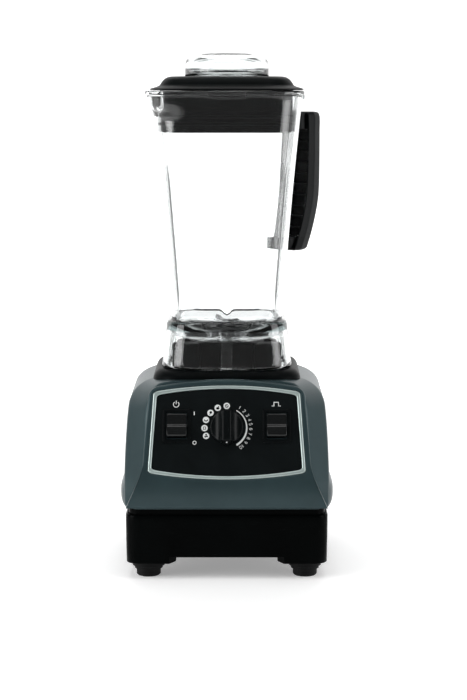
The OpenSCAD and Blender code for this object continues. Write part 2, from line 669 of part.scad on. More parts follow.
// ---------------------------------------------------------------- blade unit
module blade_housing() {
    color(steel) on_axis() difference() {
        union() {
            translate([0, 0, 202]) cylinder(r = 19.9, h = bowl_z - 201);
            translate([0, 0, bowl_z + 0.1]) cylinder(r1 = 25, r2 = 17, h = 4.4);
        }
        translate([0, 0, 200]) cylinder(r = 11 + fit, h = bowl_z - 200 + 2.6);
        translate([0, 0, 200]) cylinder(r = 7.5, h = 30);
    }
}
module blade_housing_nut() {
    color(black) on_axis() translate([0, 0, 203]) difference() {
        union() {
            cylinder(r = 26, h = 6.8);
            for (a = [0:60:300]) rotate([0, 0, a]) translate([24, -4, 0]) cube([6, 8, 5]);
        }
        translate([0, 0, -1]) cylinder(r = 19.95, h = 9);
    }
}
module blade_bearings() { color("#9aa0a5") { ball_bearing(202.1); ball_bearing(209.3); } }
module shaft_seal() { color(black) on_axis() translate([0, 0, bowl_z + 2.7]) tube(7.45, 4.05, 1.7); }
module blade_shaft() {
    color(steel) on_axis() {
        translate([0, 0, 199]) cylinder(r = shaft_r, h = 31);
        prism(spline(6.6, 5.5), 190.6, 200.6);
    }
}
module wing(turn, pitch, span, sweep) {
    rotate([0, 0, turn]) translate([10.2, 0, 0]) rotate([0, -pitch, 0]) translate([-1.6, 0, 0])
        linear_extrude(1.8) polygon([[0, -5.5], [span - 6, -5.5], [span, sweep], [span - 4, 5.5], [0, 5.5]]);
}
module blade_bore(z) { translate([0, 0, z - 3]) cylinder(r = shaft_r + fit, h = 9); }
module lower_blade() {
    color("#c9ccd0") on_axis() difference() {
        union() {
            translate([0, 0, 220]) cylinder(r = 11, h = 1.9);
            translate([0, 0, 220]) cylinder(r = 6.5, h = 3.2);
            for (a = [20, 200]) translate([0, 0, 220.05]) wing(a, -8, 17, 3);
            for (a = [65, 245]) translate([0, 0, 220.05]) wing(a, -10, 16, 3);
        }
        blade_bore(220);
    }
}
module upper_blade() {
    color("#c9ccd0") on_axis() difference() {
        union() {
            translate([0, 0, 223.2]) cylinder(r = 11, h = 1.9);
            for (a = [110, 290]) translate([0, 0, 223.25]) wing(a, 32, 18, 3);
            for (a = [155, 335]) translate([0, 0, 223.25]) wing(a, 18, 17, 3);
        }
        blade_bore(223);
    }
}
module blade_nut() {
    color(steel) on_axis() translate([0, 0, 225.15]) difference() {
        cylinder(r = 7, h = 4.4, $fn = 6);
        translate([0, 0, -1]) cylinder(r = shaft_r + fit, h = 8);
    }
}

// ---------------------------------------------------------------- lid
module lid_body() {
    z = rim_z;
    color(black) on_axis() as_mesh() difference() {
        union() {
            difference() {
                loft([at_z(plan(plug_hx - 1.5, plug_hx - 1.5, 27), plug_z),
                    at_z(plan(plug_hx, plug_hx, 28), plug_z + 2), at_z(plan(plug_hx, plug_hx, 28), z + 0.4),
                    at_z(plan(lid_hx - 0.6, lid_hx - 0.6, 35), z + 0.4), at_z(plan(lid_hx, lid_hx, 35), z + 1.5),
                    at_z(plan(71, 71, 34), z + 3), at_z(plan(66.5, 66.5, 32), z + 4.4),
                    at_z(plan(64.4, 64.4, 31), z + 6), at_z(plan(63, 63, 31), z + 8.4),
                    at_z(plan(61, 61, 30), z + 11), at_z(plan(58.4, 58.4, 29), z + 12.9),
                    at_z(plan(55, 55, 28), lid_top_z)]);
                loft([at_z(plan(59, 59, 25), plug_z - 1), at_z(plan(58.6, 58.6, 25), z + 3),
                    at_z(plan(57, 57, 24), z + 6), at_z(plan(52, 52, 24), lid_top_z - 4)]);
            }
        }
        translate([0, 0, z - 20]) cylinder(r = collar_r, h = 60);
    }
}
// Collar that guides the cap, under the top of the lid
module lid_collar() {
    color(black) on_axis() translate([0, 0, rim_z - 14])
        tube(collar_r + 4, collar_r, lid_top_z - 4 - (rim_z - 14));
}
module lid_seals() {
    color("#2c2f31") on_axis() for (z = [rim_z - 33, rim_z - 26]) translate([0, 0, z]) linear_extrude(2.6) difference() {
        polygon(plan(plug_hx + 2.6, plug_hx + 2.6, 30.2));
        polygon(plan(plug_hx + 0.05, plug_hx + 0.05, 28));
    }
}
module lid_cap() {
    z = lid_top_z;
    t = rim_z + cap_rise;
    color(clear) on_axis() rotate_extrude() polygon([
        [34, t - 5.2], [37.6, t - 8], [cap_r - 2.5, t - 11], [cap_r - 2.5, z + 2.5],
        [collar_r - 2.8, z + 2.5], [collar_r - 2.8, z + 0.1], [cap_r, z + 0.1], [cap_r, t - 10], [cap_r - 1.7, t - 5.6], [cap_r - 6, t - 2.6],
        [34, t - 2.4]]);
}
// Crown of the cap, inside the ring of its shoulder
module cap_crown() {
    t = rim_z + cap_rise;
    color(clear) on_axis() rotate_extrude() polygon([
        [0, t - 2.6], [23, t - 2.6], [34, t - 5.2], [34, t - 2.4], [26, t - 1.2], [24, t], [0, t]]);
}
// Spigot of the cap, inside the collar
module cap_tube() {
    color(clear) on_axis() translate([0, 0, lid_top_z - 28]) tube(collar_r - 0.4, collar_r - 2.8, 28.1);
}

raised() feet();
raised() foot_screws();
raised() lower_base();
raised() housing_screws();
raised() upper_shell();
raised() side_grips();
raised() cord_inlet();
raised() control_panel();
raised() panel_trim();
raised() power_switch_housing();
raised() pulse_switch_housing();
raised() power_rocker();
raised() pulse_rocker();
raised() speed_knob();
raised() knob_pointer();
raised() knob_shaft();
raised() speed_control();
raised() control_nut();
raised() circuit_board();
raised() board_parts();
raised() centering_pad();
raised() pad_screws();
raised() motor_shaft();
raised() drive_socket();
raised() rotor_core();
raised() rotor_windings();
raised() commutator();
raised() cooling_fan();
raised() stator_core();
raised() field_windings();
raised() upper_bracket();
raised() lower_bracket();
raised() upper_bearing();
raised() lower_bearing();
raised() brush_holders();
raised() carbon_brushes();
raised() motor_bolts();
raised() fan_shroud();
raised() jar_body();
raised() handle_core();
raised() handle_grip();
raised() handle_screws();
raised() blade_housing();
raised() blade_housing_nut();
raised() blade_bearings();
raised() shaft_seal();
raised() blade_shaft();
raised() lower_blade();
raised() upper_blade();
raised() blade_nut();
raised() lid_body();
raised() lid_seals();
raised() lid_cap();
raised() lid_collar();
raised() cap_tube();
raised() cap_crown();
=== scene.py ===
"""Countertop blender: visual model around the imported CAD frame."""
import json
import math
import bmesh
import bpy
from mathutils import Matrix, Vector


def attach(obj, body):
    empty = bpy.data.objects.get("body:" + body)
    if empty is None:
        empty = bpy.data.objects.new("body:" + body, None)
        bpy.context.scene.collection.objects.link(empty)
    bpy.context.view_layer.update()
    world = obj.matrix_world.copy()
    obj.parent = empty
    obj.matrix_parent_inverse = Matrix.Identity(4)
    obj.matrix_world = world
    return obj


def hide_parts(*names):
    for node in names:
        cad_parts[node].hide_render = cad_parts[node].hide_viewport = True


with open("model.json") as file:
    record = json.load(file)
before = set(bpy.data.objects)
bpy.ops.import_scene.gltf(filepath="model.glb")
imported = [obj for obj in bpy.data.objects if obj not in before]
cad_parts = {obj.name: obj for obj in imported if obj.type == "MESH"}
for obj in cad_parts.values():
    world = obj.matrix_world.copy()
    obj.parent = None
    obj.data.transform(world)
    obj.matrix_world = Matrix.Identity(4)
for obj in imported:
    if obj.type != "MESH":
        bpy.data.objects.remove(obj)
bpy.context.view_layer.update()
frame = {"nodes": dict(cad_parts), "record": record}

NODES = frame["nodes"]
MM = 0.001
scene = bpy.context.scene

# ------------------------------------------------------------------ dimensions (mm), as in the CAD
STAND = 7.6                       # base line above the table; heights below are from the base line
AXIS_Y = 8.0                      # motor and jar axis behind the middle of the base
TILT = math.radians(21)           # lean of the control panel
KINK_Y, KINK_Z = -108.875, 85.2   # where the lower front face meets the sloped one
PANEL_Z = 134.2                   # middle of the panel
PANEL_Y = KINK_Y + (PANEL_Z - KINK_Z) * math.tan(TILT)
PANEL_TOP_HX, PANEL_LOW_HX = 70.7, 75.6
PANEL_TOP_S, PANEL_LOW_S = 44.4, -47.6
TOP_SAG, LOW_SAG = 6.2, 6.4       # how far the panel's top and bottom edges bow out
KNOB_S, SWITCH_X, SWITCH_S = 2.9, 48.0, 4.6
KNOB_R = 15.7
BASE_HX, BASE_HY = 97.0, 108.0
SEAM_Z, FLOOR_Z, LEG_Z = 60.8, 13.8, 7.4
LEG_X, LEG_Y = 55.5, 66.0         # the legs begin here, from the middle
FOOT_X, FOOT_Y = 75.6, 86.0
RIM_Z, LEDGE_Z, SKIRT_Z, BOWL_Z = 457.0, 230.5, 187.6, 214.0
JAR_LOW, JAR_TOP, JAR_WALL = 54.4, 73.8, 3.4
RIM_HX, SKIRT_HX, LEDGE_HX = 75.4, 63.8, 59.0
LID_TOP = RIM_Z + 13.8
CAP_TOP = RIM_Z + 36
DECK_Z = 173.5                    # flat top of the shell, under the pad
JAR_CORNER = 0.46                 # corner radius of the jar as a share of its half width
SPOUT_PUSH = 11.5                 # how far the spout pushes the rim's corner out
RIB_HEIGHT = 2.4                  # ribs inside the jar
OUTLINE_POINTS = 320              # points round the panel and the bezel, which are lofted together


# ------------------------------------------------------------------ camera (metres)
CAMERA_FROM, CAMERA_AT = (0.0065, -1.9, 0.4626), (0.0065, 0.0, 0.2076)
LENS, SENSOR_HEIGHT = 98.6, 36.0


def make_camera():
    cam = bpy.data.cameras.new("camera")
    ob = bpy.data.objects.new("camera", cam)
    scene.collection.objects.link(ob)
    cam.sensor_fit = "VERTICAL"
    cam.sensor_height = SENSOR_HEIGHT
    cam.lens = LENS
    cam.clip_end = 40.0
    ob.location = CAMERA_FROM
    aim = Vector(CAMERA_AT) - Vector(CAMERA_FROM)
    ob.rotation_euler = aim.to_track_quat("-Z", "Y").to_euler()
    scene.camera = ob


make_camera()


# ------------------------------------------------------------------ materials
def new_material(name):
    """Material, its node tree and its shader."""
    m = bpy.data.materials.new(name)
    m.use_nodes = True
    nt = m.node_tree
    nt.nodes.clear()
    out = nt.nodes.new("ShaderNodeOutputMaterial")
    p = nt.nodes.new("ShaderNodeBsdfPrincipled")
    nt.links.new(p.outputs[0], out.inputs[0])
    return m, nt, p


def noise_node(nt, scale, detail=3.0, rough=0.55, stretch=None):
    tc = nt.nodes.new("ShaderNodeTexCoord")
    n = nt.nodes.new("ShaderNodeTexNoise")
    n.inputs["Scale"].default_value = scale
    n.inputs["Detail"].default_value = detail
    n.inputs["Roughness"].default_value = rough
    src = tc.outputs["Object"]
    if stretch:
        mp = nt.nodes.new("ShaderNodeMapping")
        mp.inputs["Scale"].default_value = stretch
        nt.links.new(src, mp.inputs["Vector"])
        src = mp.outputs[0]
    nt.links.new(src, n.inputs["Vector"])
    return n


def ramp(nt, fac, lo, hi):
    r = nt.nodes.new("ShaderNodeValToRGB")
    for element, position, color in zip(r.color_ramp.elements, (0.3, 0.7), (lo, hi)):
        element.position = position
        element.color = (*color, 1)
    nt.links.new(fac, r.inputs[0])
    return r


def add_bump(nt, p, texture, strength, distance):
    b = nt.nodes.new("ShaderNodeBump")
    b.inputs["Strength"].default_value = strength
    b.inputs["Distance"].default_value = distance
    nt.links.new(texture.outputs[0], b.inputs["Height"])
    nt.links.new(b.outputs[0], p.inputs["Normal"])


def surface(name, color, rough=0.4, metallic=0.0, vary=0.12, vary_scale=35.0, grain=900.0, bump=0.02,
            rough_vary=0.06, coat=0.0, stretch=None, spec=0.5):
    """Opaque material: colour and roughness that vary a little, and a fine grain bump."""
    m, nt, p = new_material(name)
    big = noise_node(nt, vary_scale, 4.0, 0.6)
    lo = tuple(c * (1 - vary) for c in color)
    hi = tuple(min(1.0, c * (1 + vary)) for c in color)
    nt.links.new(ramp(nt, big.outputs[0], lo, hi).outputs[0], p.inputs["Base Color"])
    fine = noise_node(nt, grain, 2.0, 0.5, stretch)
    rr = ramp(nt, fine.outputs[0], (rough - rough_vary,) * 3, (rough + rough_vary,) * 3)
    nt.links.new(rr.outputs[0], p.inputs["Roughness"])
    add_bump(nt, p, fine, bump, 0.0004)
    p.inputs["Metallic"].default_value = metallic
    p.inputs["Coat Weight"].default_value = coat
    p.inputs["Coat Roughness"].default_value = 0.1
    p.inputs["Specular IOR Level"].default_value = spec
    return m


def clear_plastic(name, tint=(0.985, 0.99, 0.99), rough=0.02):
    """Clear moulding: soft ripples, and a faint grey where the light passes through much of it."""
    m, nt, p = new_material(name)
    soft = noise_node(nt, 9.0, 3.0, 0.5)
    rr = ramp(nt, soft.outputs[0], (rough,) * 3, (rough + 0.03,) * 3)
    nt.links.new(rr.outputs[0], p.inputs["Roughness"])
    add_bump(nt, p, noise_node(nt, 14.0, 1.0, 0.4), 0.05, 0.0006)
    p.inputs["Base Color"].default_value = (*tint, 1)
    p.inputs["Transmission Weight"].default_value = 1.0
    p.inputs["IOR"].default_value = 1.47
    haze = nt.nodes.new("ShaderNodeVolumeAbsorption")
    haze.inputs["Color"].default_value = (0.50, 0.57, 0.57, 1)
    haze.inputs["Density"].default_value = 22.0
    nt.links.new(haze.outputs[0], nt.nodes["Material Output"].inputs["Volume"])
    return m


MAT = {
    "shell": surface("shell_paint", (0.027, 0.048, 0.053), 0.38, 0.35, 0.10, 22, 2600, 0.06, 0.05, 0.06,
                     spec=0.25),
    "base": surface("base_gloss", (0.0008, 0.0012, 0.0012), 0.22, 0, 0.3, 30, 1500, 0.03, 0.05, spec=0.02),
    "rubber": surface("foot_rubber", (0.003, 0.0033, 0.0034), 0.55, 0, 0.3, 60, 1100, 0.25, 0.08,
                      spec=0.12),
    "pad": surface("pad_rubber", (0.0022, 0.0030, 0.0032), 0.42, 0, 0.3, 40, 1300, 0.18, 0.08, spec=0.03),
    "panel": surface("panel_satin", (0.0035, 0.0050, 0.0054), 0.42, 0, 0.2, 50, 1800, 0.10, 0.05,
                     spec=0.08),
    "trim": surface("trim_silver", (0.44, 0.52, 0.505), 0.32, 0.6, 0.05, 40, 2400, 0.05, 0.05),
    "control": surface("control_satin", (0.0026, 0.0036, 0.0039), 0.26, 0, 0.2, 60, 1600, 0.06, 0.06,
                       spec=0.09),
    "paddle": surface("paddle_gloss", (0.0022, 0.0030, 0.0032), 0.13, 0, 0.2, 60, 1600, 0.03, 0.04,
                      spec=0.42),
    "marking": surface("printed_white", (0.80, 0.82, 0.81), 0.45, 0, 0.04, 300, 2500, 0.03, 0.03),
    "steel": surface("machined_steel", (0.56, 0.565, 0.57), 0.28, 1, 0.08, 90, 1400, 0.10, 0.08,
                     stretch=(1, 1, 0.05)),
    "blade": surface("blade_steel", (0.66, 0.665, 0.67), 0.20, 1, 0.06, 80, 1200, 0.08, 0.07,
                     stretch=(0.1, 1, 1)),
    "laminations": surface("laminations", (0.20, 0.21, 0.22), 0.5, 0.8, 0.15, 60, 900, 0.4, 0.1,
                           stretch=(0.02, 0.02, 1)),
    "copper": surface("enamelled_copper", (0.45, 0.17, 0.06), 0.34, 0.7, 0.2, 80, 1000, 0.6, 0.08,
                      stretch=(0.05, 0.05, 1)),
    "alloy": surface("cast_alloy", (0.42, 0.43, 0.44), 0.48, 0.9, 0.12, 60, 700, 0.3, 0.1),
    "brass": surface("brass", (0.58, 0.42, 0.16), 0.32, 1, 0.1, 60, 1200, 0.1, 0.08),
    "carbon": surface("carbon", (0.02, 0.02, 0.021), 0.6, 0, 0.3, 90, 900, 0.4, 0.1),
    "board": surface("circuit_board", (0.02, 0.11, 0.045), 0.35, 0, 0.25, 120, 700, 0.1, 0.08),
    "component": surface("components", (0.05, 0.055, 0.06), 0.45, 0, 0.25, 150, 900, 0.1, 0.08),
    "inner": surface("inner_plastic", (0.015, 0.015, 0.016), 0.5, 0, 0.2, 50, 1000, 0.15, 0.08),
    "fan": surface("fan_plastic", (0.55, 0.55, 0.50), 0.5, 0, 0.08, 50, 1000, 0.1, 0.08),
    "handle": surface("handle_satin", (0.0028, 0.0036, 0.0040), 0.32, 0, 0.2, 45, 1500, 0.12, 0.07,
                      spec=0.10),
    "lid": surface("lid_rubber", (0.0026, 0.0036, 0.0038), 0.40, 0, 0.25, 45, 1200, 0.15, 0.08, spec=0.03),
    "clear": clear_plastic("clear_jar"),
    "cap": clear_plastic("clear_cap", (0.97, 0.985, 0.985), 0.04),
}
SLOT_MATERIAL = {
    "shell_grey": "shell", "base_black": "base", "foot_rubber": "rubber", "pad_rubber": "pad",
    "panel_black": "panel", "trim_silver": "trim", "control_black": "control", "marking_white": "marking",
    "steel": "steel", "blade_steel": "blade", "laminations": "laminations", "copper": "copper",
    "cast_alloy": "alloy", "brass": "brass", "carbon": "carbon", "board_green": "board",
    "component_grey": "component", "inner_black": "inner", "fan_white": "fan", "clear_plastic": "clear",
    "handle_black": "handle", "lid_rubber": "lid",
}
for entry in frame["record"]["subparts"]:
    node_object = NODES[entry["node"]]
    node_object.data.materials.clear()
    node_object.data.materials.append(MAT[SLOT_MATERIAL[entry["material_slot"]]])


# ------------------------------------------------------------------ mesh helpers (all take mm)
def make(name, verts, faces, material, body, slot, replaces=(), smooth=35.0, bevel=0.0, segs=2):
    """Piece on a body, lifted from the base line to the table; edges sharper than smooth stay sharp."""
    me = bpy.data.meshes.new(name)
    me.from_pydata([(v[0] * MM, v[1] * MM, (v[2] + STAND) * MM) for v in verts], [], faces)
    me.validate()
    bm = bmesh.new()
    bm.from_mesh(me)
    bmesh.ops.remove_doubles(bm, verts=bm.verts, dist=1e-6)
    bmesh.ops.recalc_face_normals(bm, faces=bm.faces)
    for e in bm.edges:
        sharp = len(e.link_faces) == 2 and e.calc_face_angle(0.0) > math.radians(smooth)
        e.smooth = not sharp
    for f in bm.faces:
        f.smooth = True
    bm.to_mesh(me)
    bm.free()
    me.materials.append(MAT[material])
    ob = bpy.data.objects.new(name, me)
    scene.collection.objects.link(ob)
    if bevel:
        md = ob.modifiers.new("bevel", "BEVEL")
        md.width = bevel * MM
        md.segments = segs
        md.limit_method = "ANGLE"
        md.angle_limit = math.radians(smooth)
        md.harden_normals = True
    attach(ob, body)
    if replaces:
        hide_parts(*replaces)
    return ob


def join(parts):
    """One vertex and face list from several."""
    verts, faces = [], []
    for v, f in parts:
        k = len(verts)
        verts += v
        faces += [tuple(i + k for i in face) for face in f]
    return verts, faces


def loft(rings, cap0=True, cap1=True, closed=True):
    """Skin over rings of equally many points, with its first and last ring filled or left open."""
    n = len(rings[0])
    verts = [p for r in rings for p in r]
    faces = []
    last = n if closed else n - 1
    for j in range(len(rings) - 1):
        for i in range(last):
            k = (i + 1) % n
            faces.append((j * n + i, j * n + k, (j + 1) * n + k, (j + 1) * n + i))
    if cap0:
        faces.append(tuple(range(n - 1, -1, -1)))
    if cap1:
        faces.append(tuple((len(rings) - 1) * n + i for i in range(n)))
    return verts, faces


def corner_ring(corners, seg=8, line=6):
    """Closed outline through (x, y, radius) corners, rounded, with points on the straights too."""
    n = len(corners)
    arcs = []
    for i, (x, y, r) in enumerate(corners):
        p = Vector((x, y))
        a = (Vector(corners[i - 1][:2]) - p).normalized()
        b = (Vector(corners[(i + 1) % n][:2]) - p).normalized()
        half = max(1e-3, math.acos(max(-1, min(1, a.dot(b)))) / 2)
        t = r / math.tan(half)
        c = p + (a + b).normalized() * (r / math.sin(half))
        s, e = p + a * t - c, p + b * t - c
        a0 = math.atan2(s.y, s.x)
        d = math.atan2(s.x * e.y - s.y * e.x, s.dot(e))
        arcs.append([c + Vector((math.cos(a0 + d * k / seg), math.sin(a0 + d * k / seg))) * r
                     for k in range(seg + 1)])
    out = []
    for i in range(n):
        out += arcs[i]
        p, q = arcs[i][-1], arcs[(i + 1) % n][0]
        out += [p.lerp(q, k / line) for k in range(1, line)]
    return out


def rectangle(hx, hy, r, seg, line):
    return corner_ring([(hx, -hy, r), (hx, hy, r), (-hx, hy, r), (-hx, -hy, r)], seg, line)


def square_ring(hx, r, z, seg=16, line=10):
    return [(p.x, p.y + AXIS_Y, z) for p in rectangle(hx, hx, r, seg, line)]


def revolve(profile, n=96, cx=0.0, cy=AXIS_Y):
    """Turned shape from (radius, z) points; a first or last radius of 0 closes it."""
    rings = [[(cx + r * math.cos(2 * math.pi * i / n), cy + r * math.sin(2 * math.pi * i / n), z)
              for i in range(n)] for r, z in profile]
    return loft(rings, profile[0][0] < 1e-6, profile[-1][0] < 1e-6)


def on_panel(x, s, n):
    """Point in the panel's frame (right, up the slope, out) to the row frame."""
    y = PANEL_Y + s * math.sin(TILT) - n * math.cos(TILT)
    z = PANEL_Z + s * math.cos(TILT) + n * math.sin(TILT)
    return (x, y, z)


def catmull(keys, z):
    """Smooth value at z from rows (z, a, b, ...)."""
    for i in range(len(keys) - 1):
        if keys[i][0] <= z <= keys[i + 1][0]:
            break
    k = [keys[max(0, i - 1)], keys[i], keys[i + 1], keys[min(len(keys) - 1, i + 2)]]
    t = (z - k[1][0]) / (k[2][0] - k[1][0])
    out = []
    for c in range(1, len(keys[0])):
        m1 = (k[2][c] - k[0][c]) / max(1e-6, k[2][0] - k[0][0]) * (k[2][0] - k[1][0])
        m2 = (k[3][c] - k[1][c]) / max(1e-6, k[3][0] - k[1][0]) * (k[2][0] - k[1][0])
        t2, t3 = t * t, t * t * t
        out.append((2 * t3 - 3 * t2 + 1) * k[1][c] + (t3 - 2 * t2 + t) * m1 + (-2 * t3 + 3 * t2) * k[2][c]
                   + (t3 - t2) * m2)
    return out


# ------------------------------------------------------------------ motor base
SHELL = [  # z, half width, back y, front corner x, front corner depth, back corner radius
    (SEAM_Z, 98.6, 107.4, 88, 14, 15), (68, 98.9, 107.0, 83, 19, 15), (85, 99.0, 106.0, 79.5, 22, 16),
    (110, 98.5, 103.6, 78.5, 23, 17), (135, 97.4, 100.0, 77.5, 24, 19), (148, 96.4, 97.4, 77, 25, 20),
    (155, 95.6, 95.8, 76.4, 27, 22), (160, 94.2, 93.6, 75.4, 30, 24), (165, 91.6, 91.0, 73.5, 33, 26),
    (169, 88.0, 88.6, 71.5, 35, 28), (173, 82.6, 85.4, 69, 36, 30), (176, 76.6, 82.0, 66, 36, 32),
    (178, 70.0, 78.6, 62, 34, 32), (179.3, 62.0, 72.0, 55, 30, 30),
]


def front_y(z, depth=0.0):
    """Front face of the raised bezel at height z, set back by depth."""
    a = z - KINK_Z
    steep, shallow = math.tan(TILT), 0.4 / 24
    y = KINK_Y + 0.5 * (steep + shallow) * a + 0.5 * (steep - shallow) * (math.sqrt(a * a + 16) - 4)
    return y + depth / math.cos(TILT)


def shell_ring(z, inset=0.0, drop=0.0):
    hx, yb, cx, cd, rb = catmull(SHELL, z)
    hx, yb = hx - inset, yb - inset
    yf = front_y(z, 2.6) + inset
    c = [(cx, yf, 5), (hx, yf + cd, 7), (hx, yb, rb), (-hx, yb, rb), (-hx, yf + cd, 7), (-cx, yf, 5)]
    return [(p.x, p.y, z - drop) for p in corner_ring(c, 7, 7)]


def build_shell():
    levels = [SEAM_Z, 64, 69, 76, 82, 87, 90, 96, 104, 112, 120, 128, 136, 142, 147, 151, 154, 157, 160,
              162.5,
              165, 167, 169, 171, 173, 174.6, 176, 177.2, 178.2, 179.3]
    rings = [shell_ring(SEAM_Z + 4, 3.0), shell_ring(SEAM_Z + 0.9, 2.6, 0.3),
             shell_ring(SEAM_Z + 0.2, 0.8, 0.2)]
    rings += [shell_ring(z) for z in levels[1:]]
    top = rings[-1]
    for k in (0.9, 0.72, 0.5):
        rings.append([(x * k, AXIS_Y + (y - AXIS_Y) * k, DECK_Z + 0.02 + (6 if k > 0.85 else 0))
                      for x, y, _ in top])
    make("shell", *loft(rings, cap0=False), "shell", "base", "shell_grey", ("upper_shell",), smooth=40)


def panel_outline(grow):
    """Outline of the recess on the panel plane as (x, s) points, a quarter of them on each side."""
    top_hx, low_hx = PANEL_TOP_HX + grow, PANEL_LOW_HX + grow
    top_s, low_s = PANEL_TOP_S + grow, PANEL_LOW_S - grow
    corner_top, corner_low = top_s - TOP_SAG, low_s + LOW_SAG

    def arch(hx, sag, x):
        r = (hx * hx + sag * sag) / (2 * sag)
        return math.sqrt(max(0.0, r * r - x * x)) - r

    m = OUTLINE_POINTS // 4
    steps = [i / m for i in range(m)]
    pts = []
    for t in steps:
        x = -top_hx + 2 * top_hx * t
        pts.append((x, top_s + arch(top_hx, TOP_SAG, x)))
    pts += [(top_hx + (low_hx - top_hx) * t, corner_top + (corner_low - corner_top) * t) for t in steps]
    for t in steps:
        x = low_hx - 2 * low_hx * t
        pts.append((x, low_s - arch(low_hx, LOW_SAG, x)))
    pts += [(-low_hx + (low_hx - top_hx) * t, corner_low + (corner_top - corner_low) * t) for t in steps]
    return round_corners(pts, [m * k for k in range(4)], 3)


def round_corners(pts, at, reach):
    """Pulls the points near each corner index onto a smooth curve."""
    n = len(pts)
    out = list(pts)
    for c in at:
        a, p, b = Vector(pts[(c - reach) % n]), Vector(pts[c]), Vector(pts[(c + reach) % n])
        for k in range(-reach, reach + 1):
            t = (k + reach) / (2 * reach)
            out[(c + k) % n] = tuple(a * (1 - t) ** 2 + p * 2 * t * (1 - t) + b * t * t)
    return out


def bezel_outline():
    """Outer edge of the raised face as (x, z): arched top, sides down to the lower corners."""
    m = OUTLINE_POINTS // 4
    top_hx, low_hx, low_z = 75.0, 96.6, SEAM_Z + 1
    pts = []
    for i in range(m):
        x = -top_hx + 2 * top_hx * i / m
        pts.append((x, 181.0 - (x / top_hx) ** 2 * 8.0))
    side = [(top_hx, 173.0), (77.6, 140.0), (80.6, 99.0), (86.0, 85.0), (low_hx, low_z)]
    lengths = [math.dist(a, b) for a, b in zip(side, side[1:])]
    total = sum(lengths)
    right = []
    for i in range(m):
        d, k = total * i / m, 0
        while d > lengths[k]:
            d -= lengths[k]
            k += 1
        t, (x0, z0), (x1, z1) = d / lengths[k], side[k], side[k + 1]
        right.append((x0 + (x1 - x0) * t, z0 + (z1 - z0) * t))
    right = soften(right, 8)
    pts += right
    pts += [(low_hx - 2 * low_hx * i / m, low_z) for i in range(m)]
    pts += [(-x, z) for x, z in [(low_hx, low_z)] + right[:0:-1]]
    return round_corners(pts, [0, m], 6)


def soften(pts, times):
    """Open line of points with its kinks evened out, its two ends kept."""
    for _ in range(times):
        pts = [pts[0]] + [((a[0] + 2 * b[0] + c[0]) / 4, (a[1] + 2 * b[1] + c[1]) / 4)
                          for a, b, c in zip(pts, pts[1:], pts[2:])] + [pts[-1]]
    return pts


def build_bezel():
    inner = panel_outline(0.0)
    outer = bezel_outline()
    wall = [on_panel(x, s, 0.0) for x, s in inner]
    rings = []
    for off, depth in ((0.0, 3.0), (0.0, 1.1), (0.25, 0.45), (0.8, 0.08), (1.5, 0.0)):
        rings.append([ring_point(w, o, off, depth) for w, o in zip(wall, outer)])
    for f in (0.3, 0.6):
        rings.append([ring_point(w, o, 1.5 + (dist_xz(w, o) - 4.0) * f, 0.0) for w, o in zip(wall, outer)])
    for back, depth in ((2.4, 0.0), (1.2, 0.25), (0.45, 0.85), (0.1, 1.6), (0.0, 2.4), (0.4, 6.5)):
        rings.append([ring_point(w, o, dist_xz(w, o) - back, depth) for w, o in zip(wall, outer)])
    make("bezel", *loft(rings, False, False), "shell", "base", "shell_grey", smooth=55)


def dist_xz(w, o):
    """Distance seen from the front, from wall point w (x, y, z) to outer point o (x, z)."""
    return math.dist((w[0], w[2]), o)


def ring_point(w, o, off, depth):
    """Point off mm from wall point w towards the outer point o, on the front face set back by depth."""
    d = max(dist_xz(w, o), 1e-6)
    x, z = w[0] + (o[0] - w[0]) * off / d, w[2] + (o[1] - w[2]) * off / d
    return (x, front_y(z, depth), z)


def build_trim():
    """Silver line that laps the edge of the recess, as a low rounded bead."""
    rings = []
    for grow, n in ((-0.15, -3.0), (-0.2, 0.1), (-0.5, 0.55), (-1.1, 0.78), (-1.8, 0.82), (-2.5, 0.74),
                    (-3.1, 0.45),
                    (-3.4, 0.0), (-3.5, -3.0)):
        rings.append([on_panel(x, s, n) for x, s in panel_outline(grow)])
    make("trim", *loft(rings, False, False), "trim", "base", "trim_silver", ("panel_trim",), smooth=50)


def base_ring():
    """Outline of the lower base, with close pairs of points where the legs begin."""
    ring = [(p.x, p.y) for p in rectangle(BASE_HX, BASE_HY, 13, 10, 24)]
    out = []
    for p, q in zip(ring, ring[1:] + ring[:1]):
        out.append(p)
        for axis, other, edge, limit in ((0, 1, BASE_HY, LEG_X), (1, 0, BASE_HX, LEG_Y)):
            on_edge = min(abs(p[other]), abs(q[other])) > edge - 0.1
            if on_edge and (abs(p[axis]) - limit) * (abs(q[axis]) - limit) < 0:
                side = math.copysign(1, p[axis])
                first = -0.2 if abs(p[axis]) < limit else 0.2
                for d in (first, -first):
                    pt = list(p)
                    pt[axis] = side * (limit + d)
                    out.append(tuple(pt))
    return out


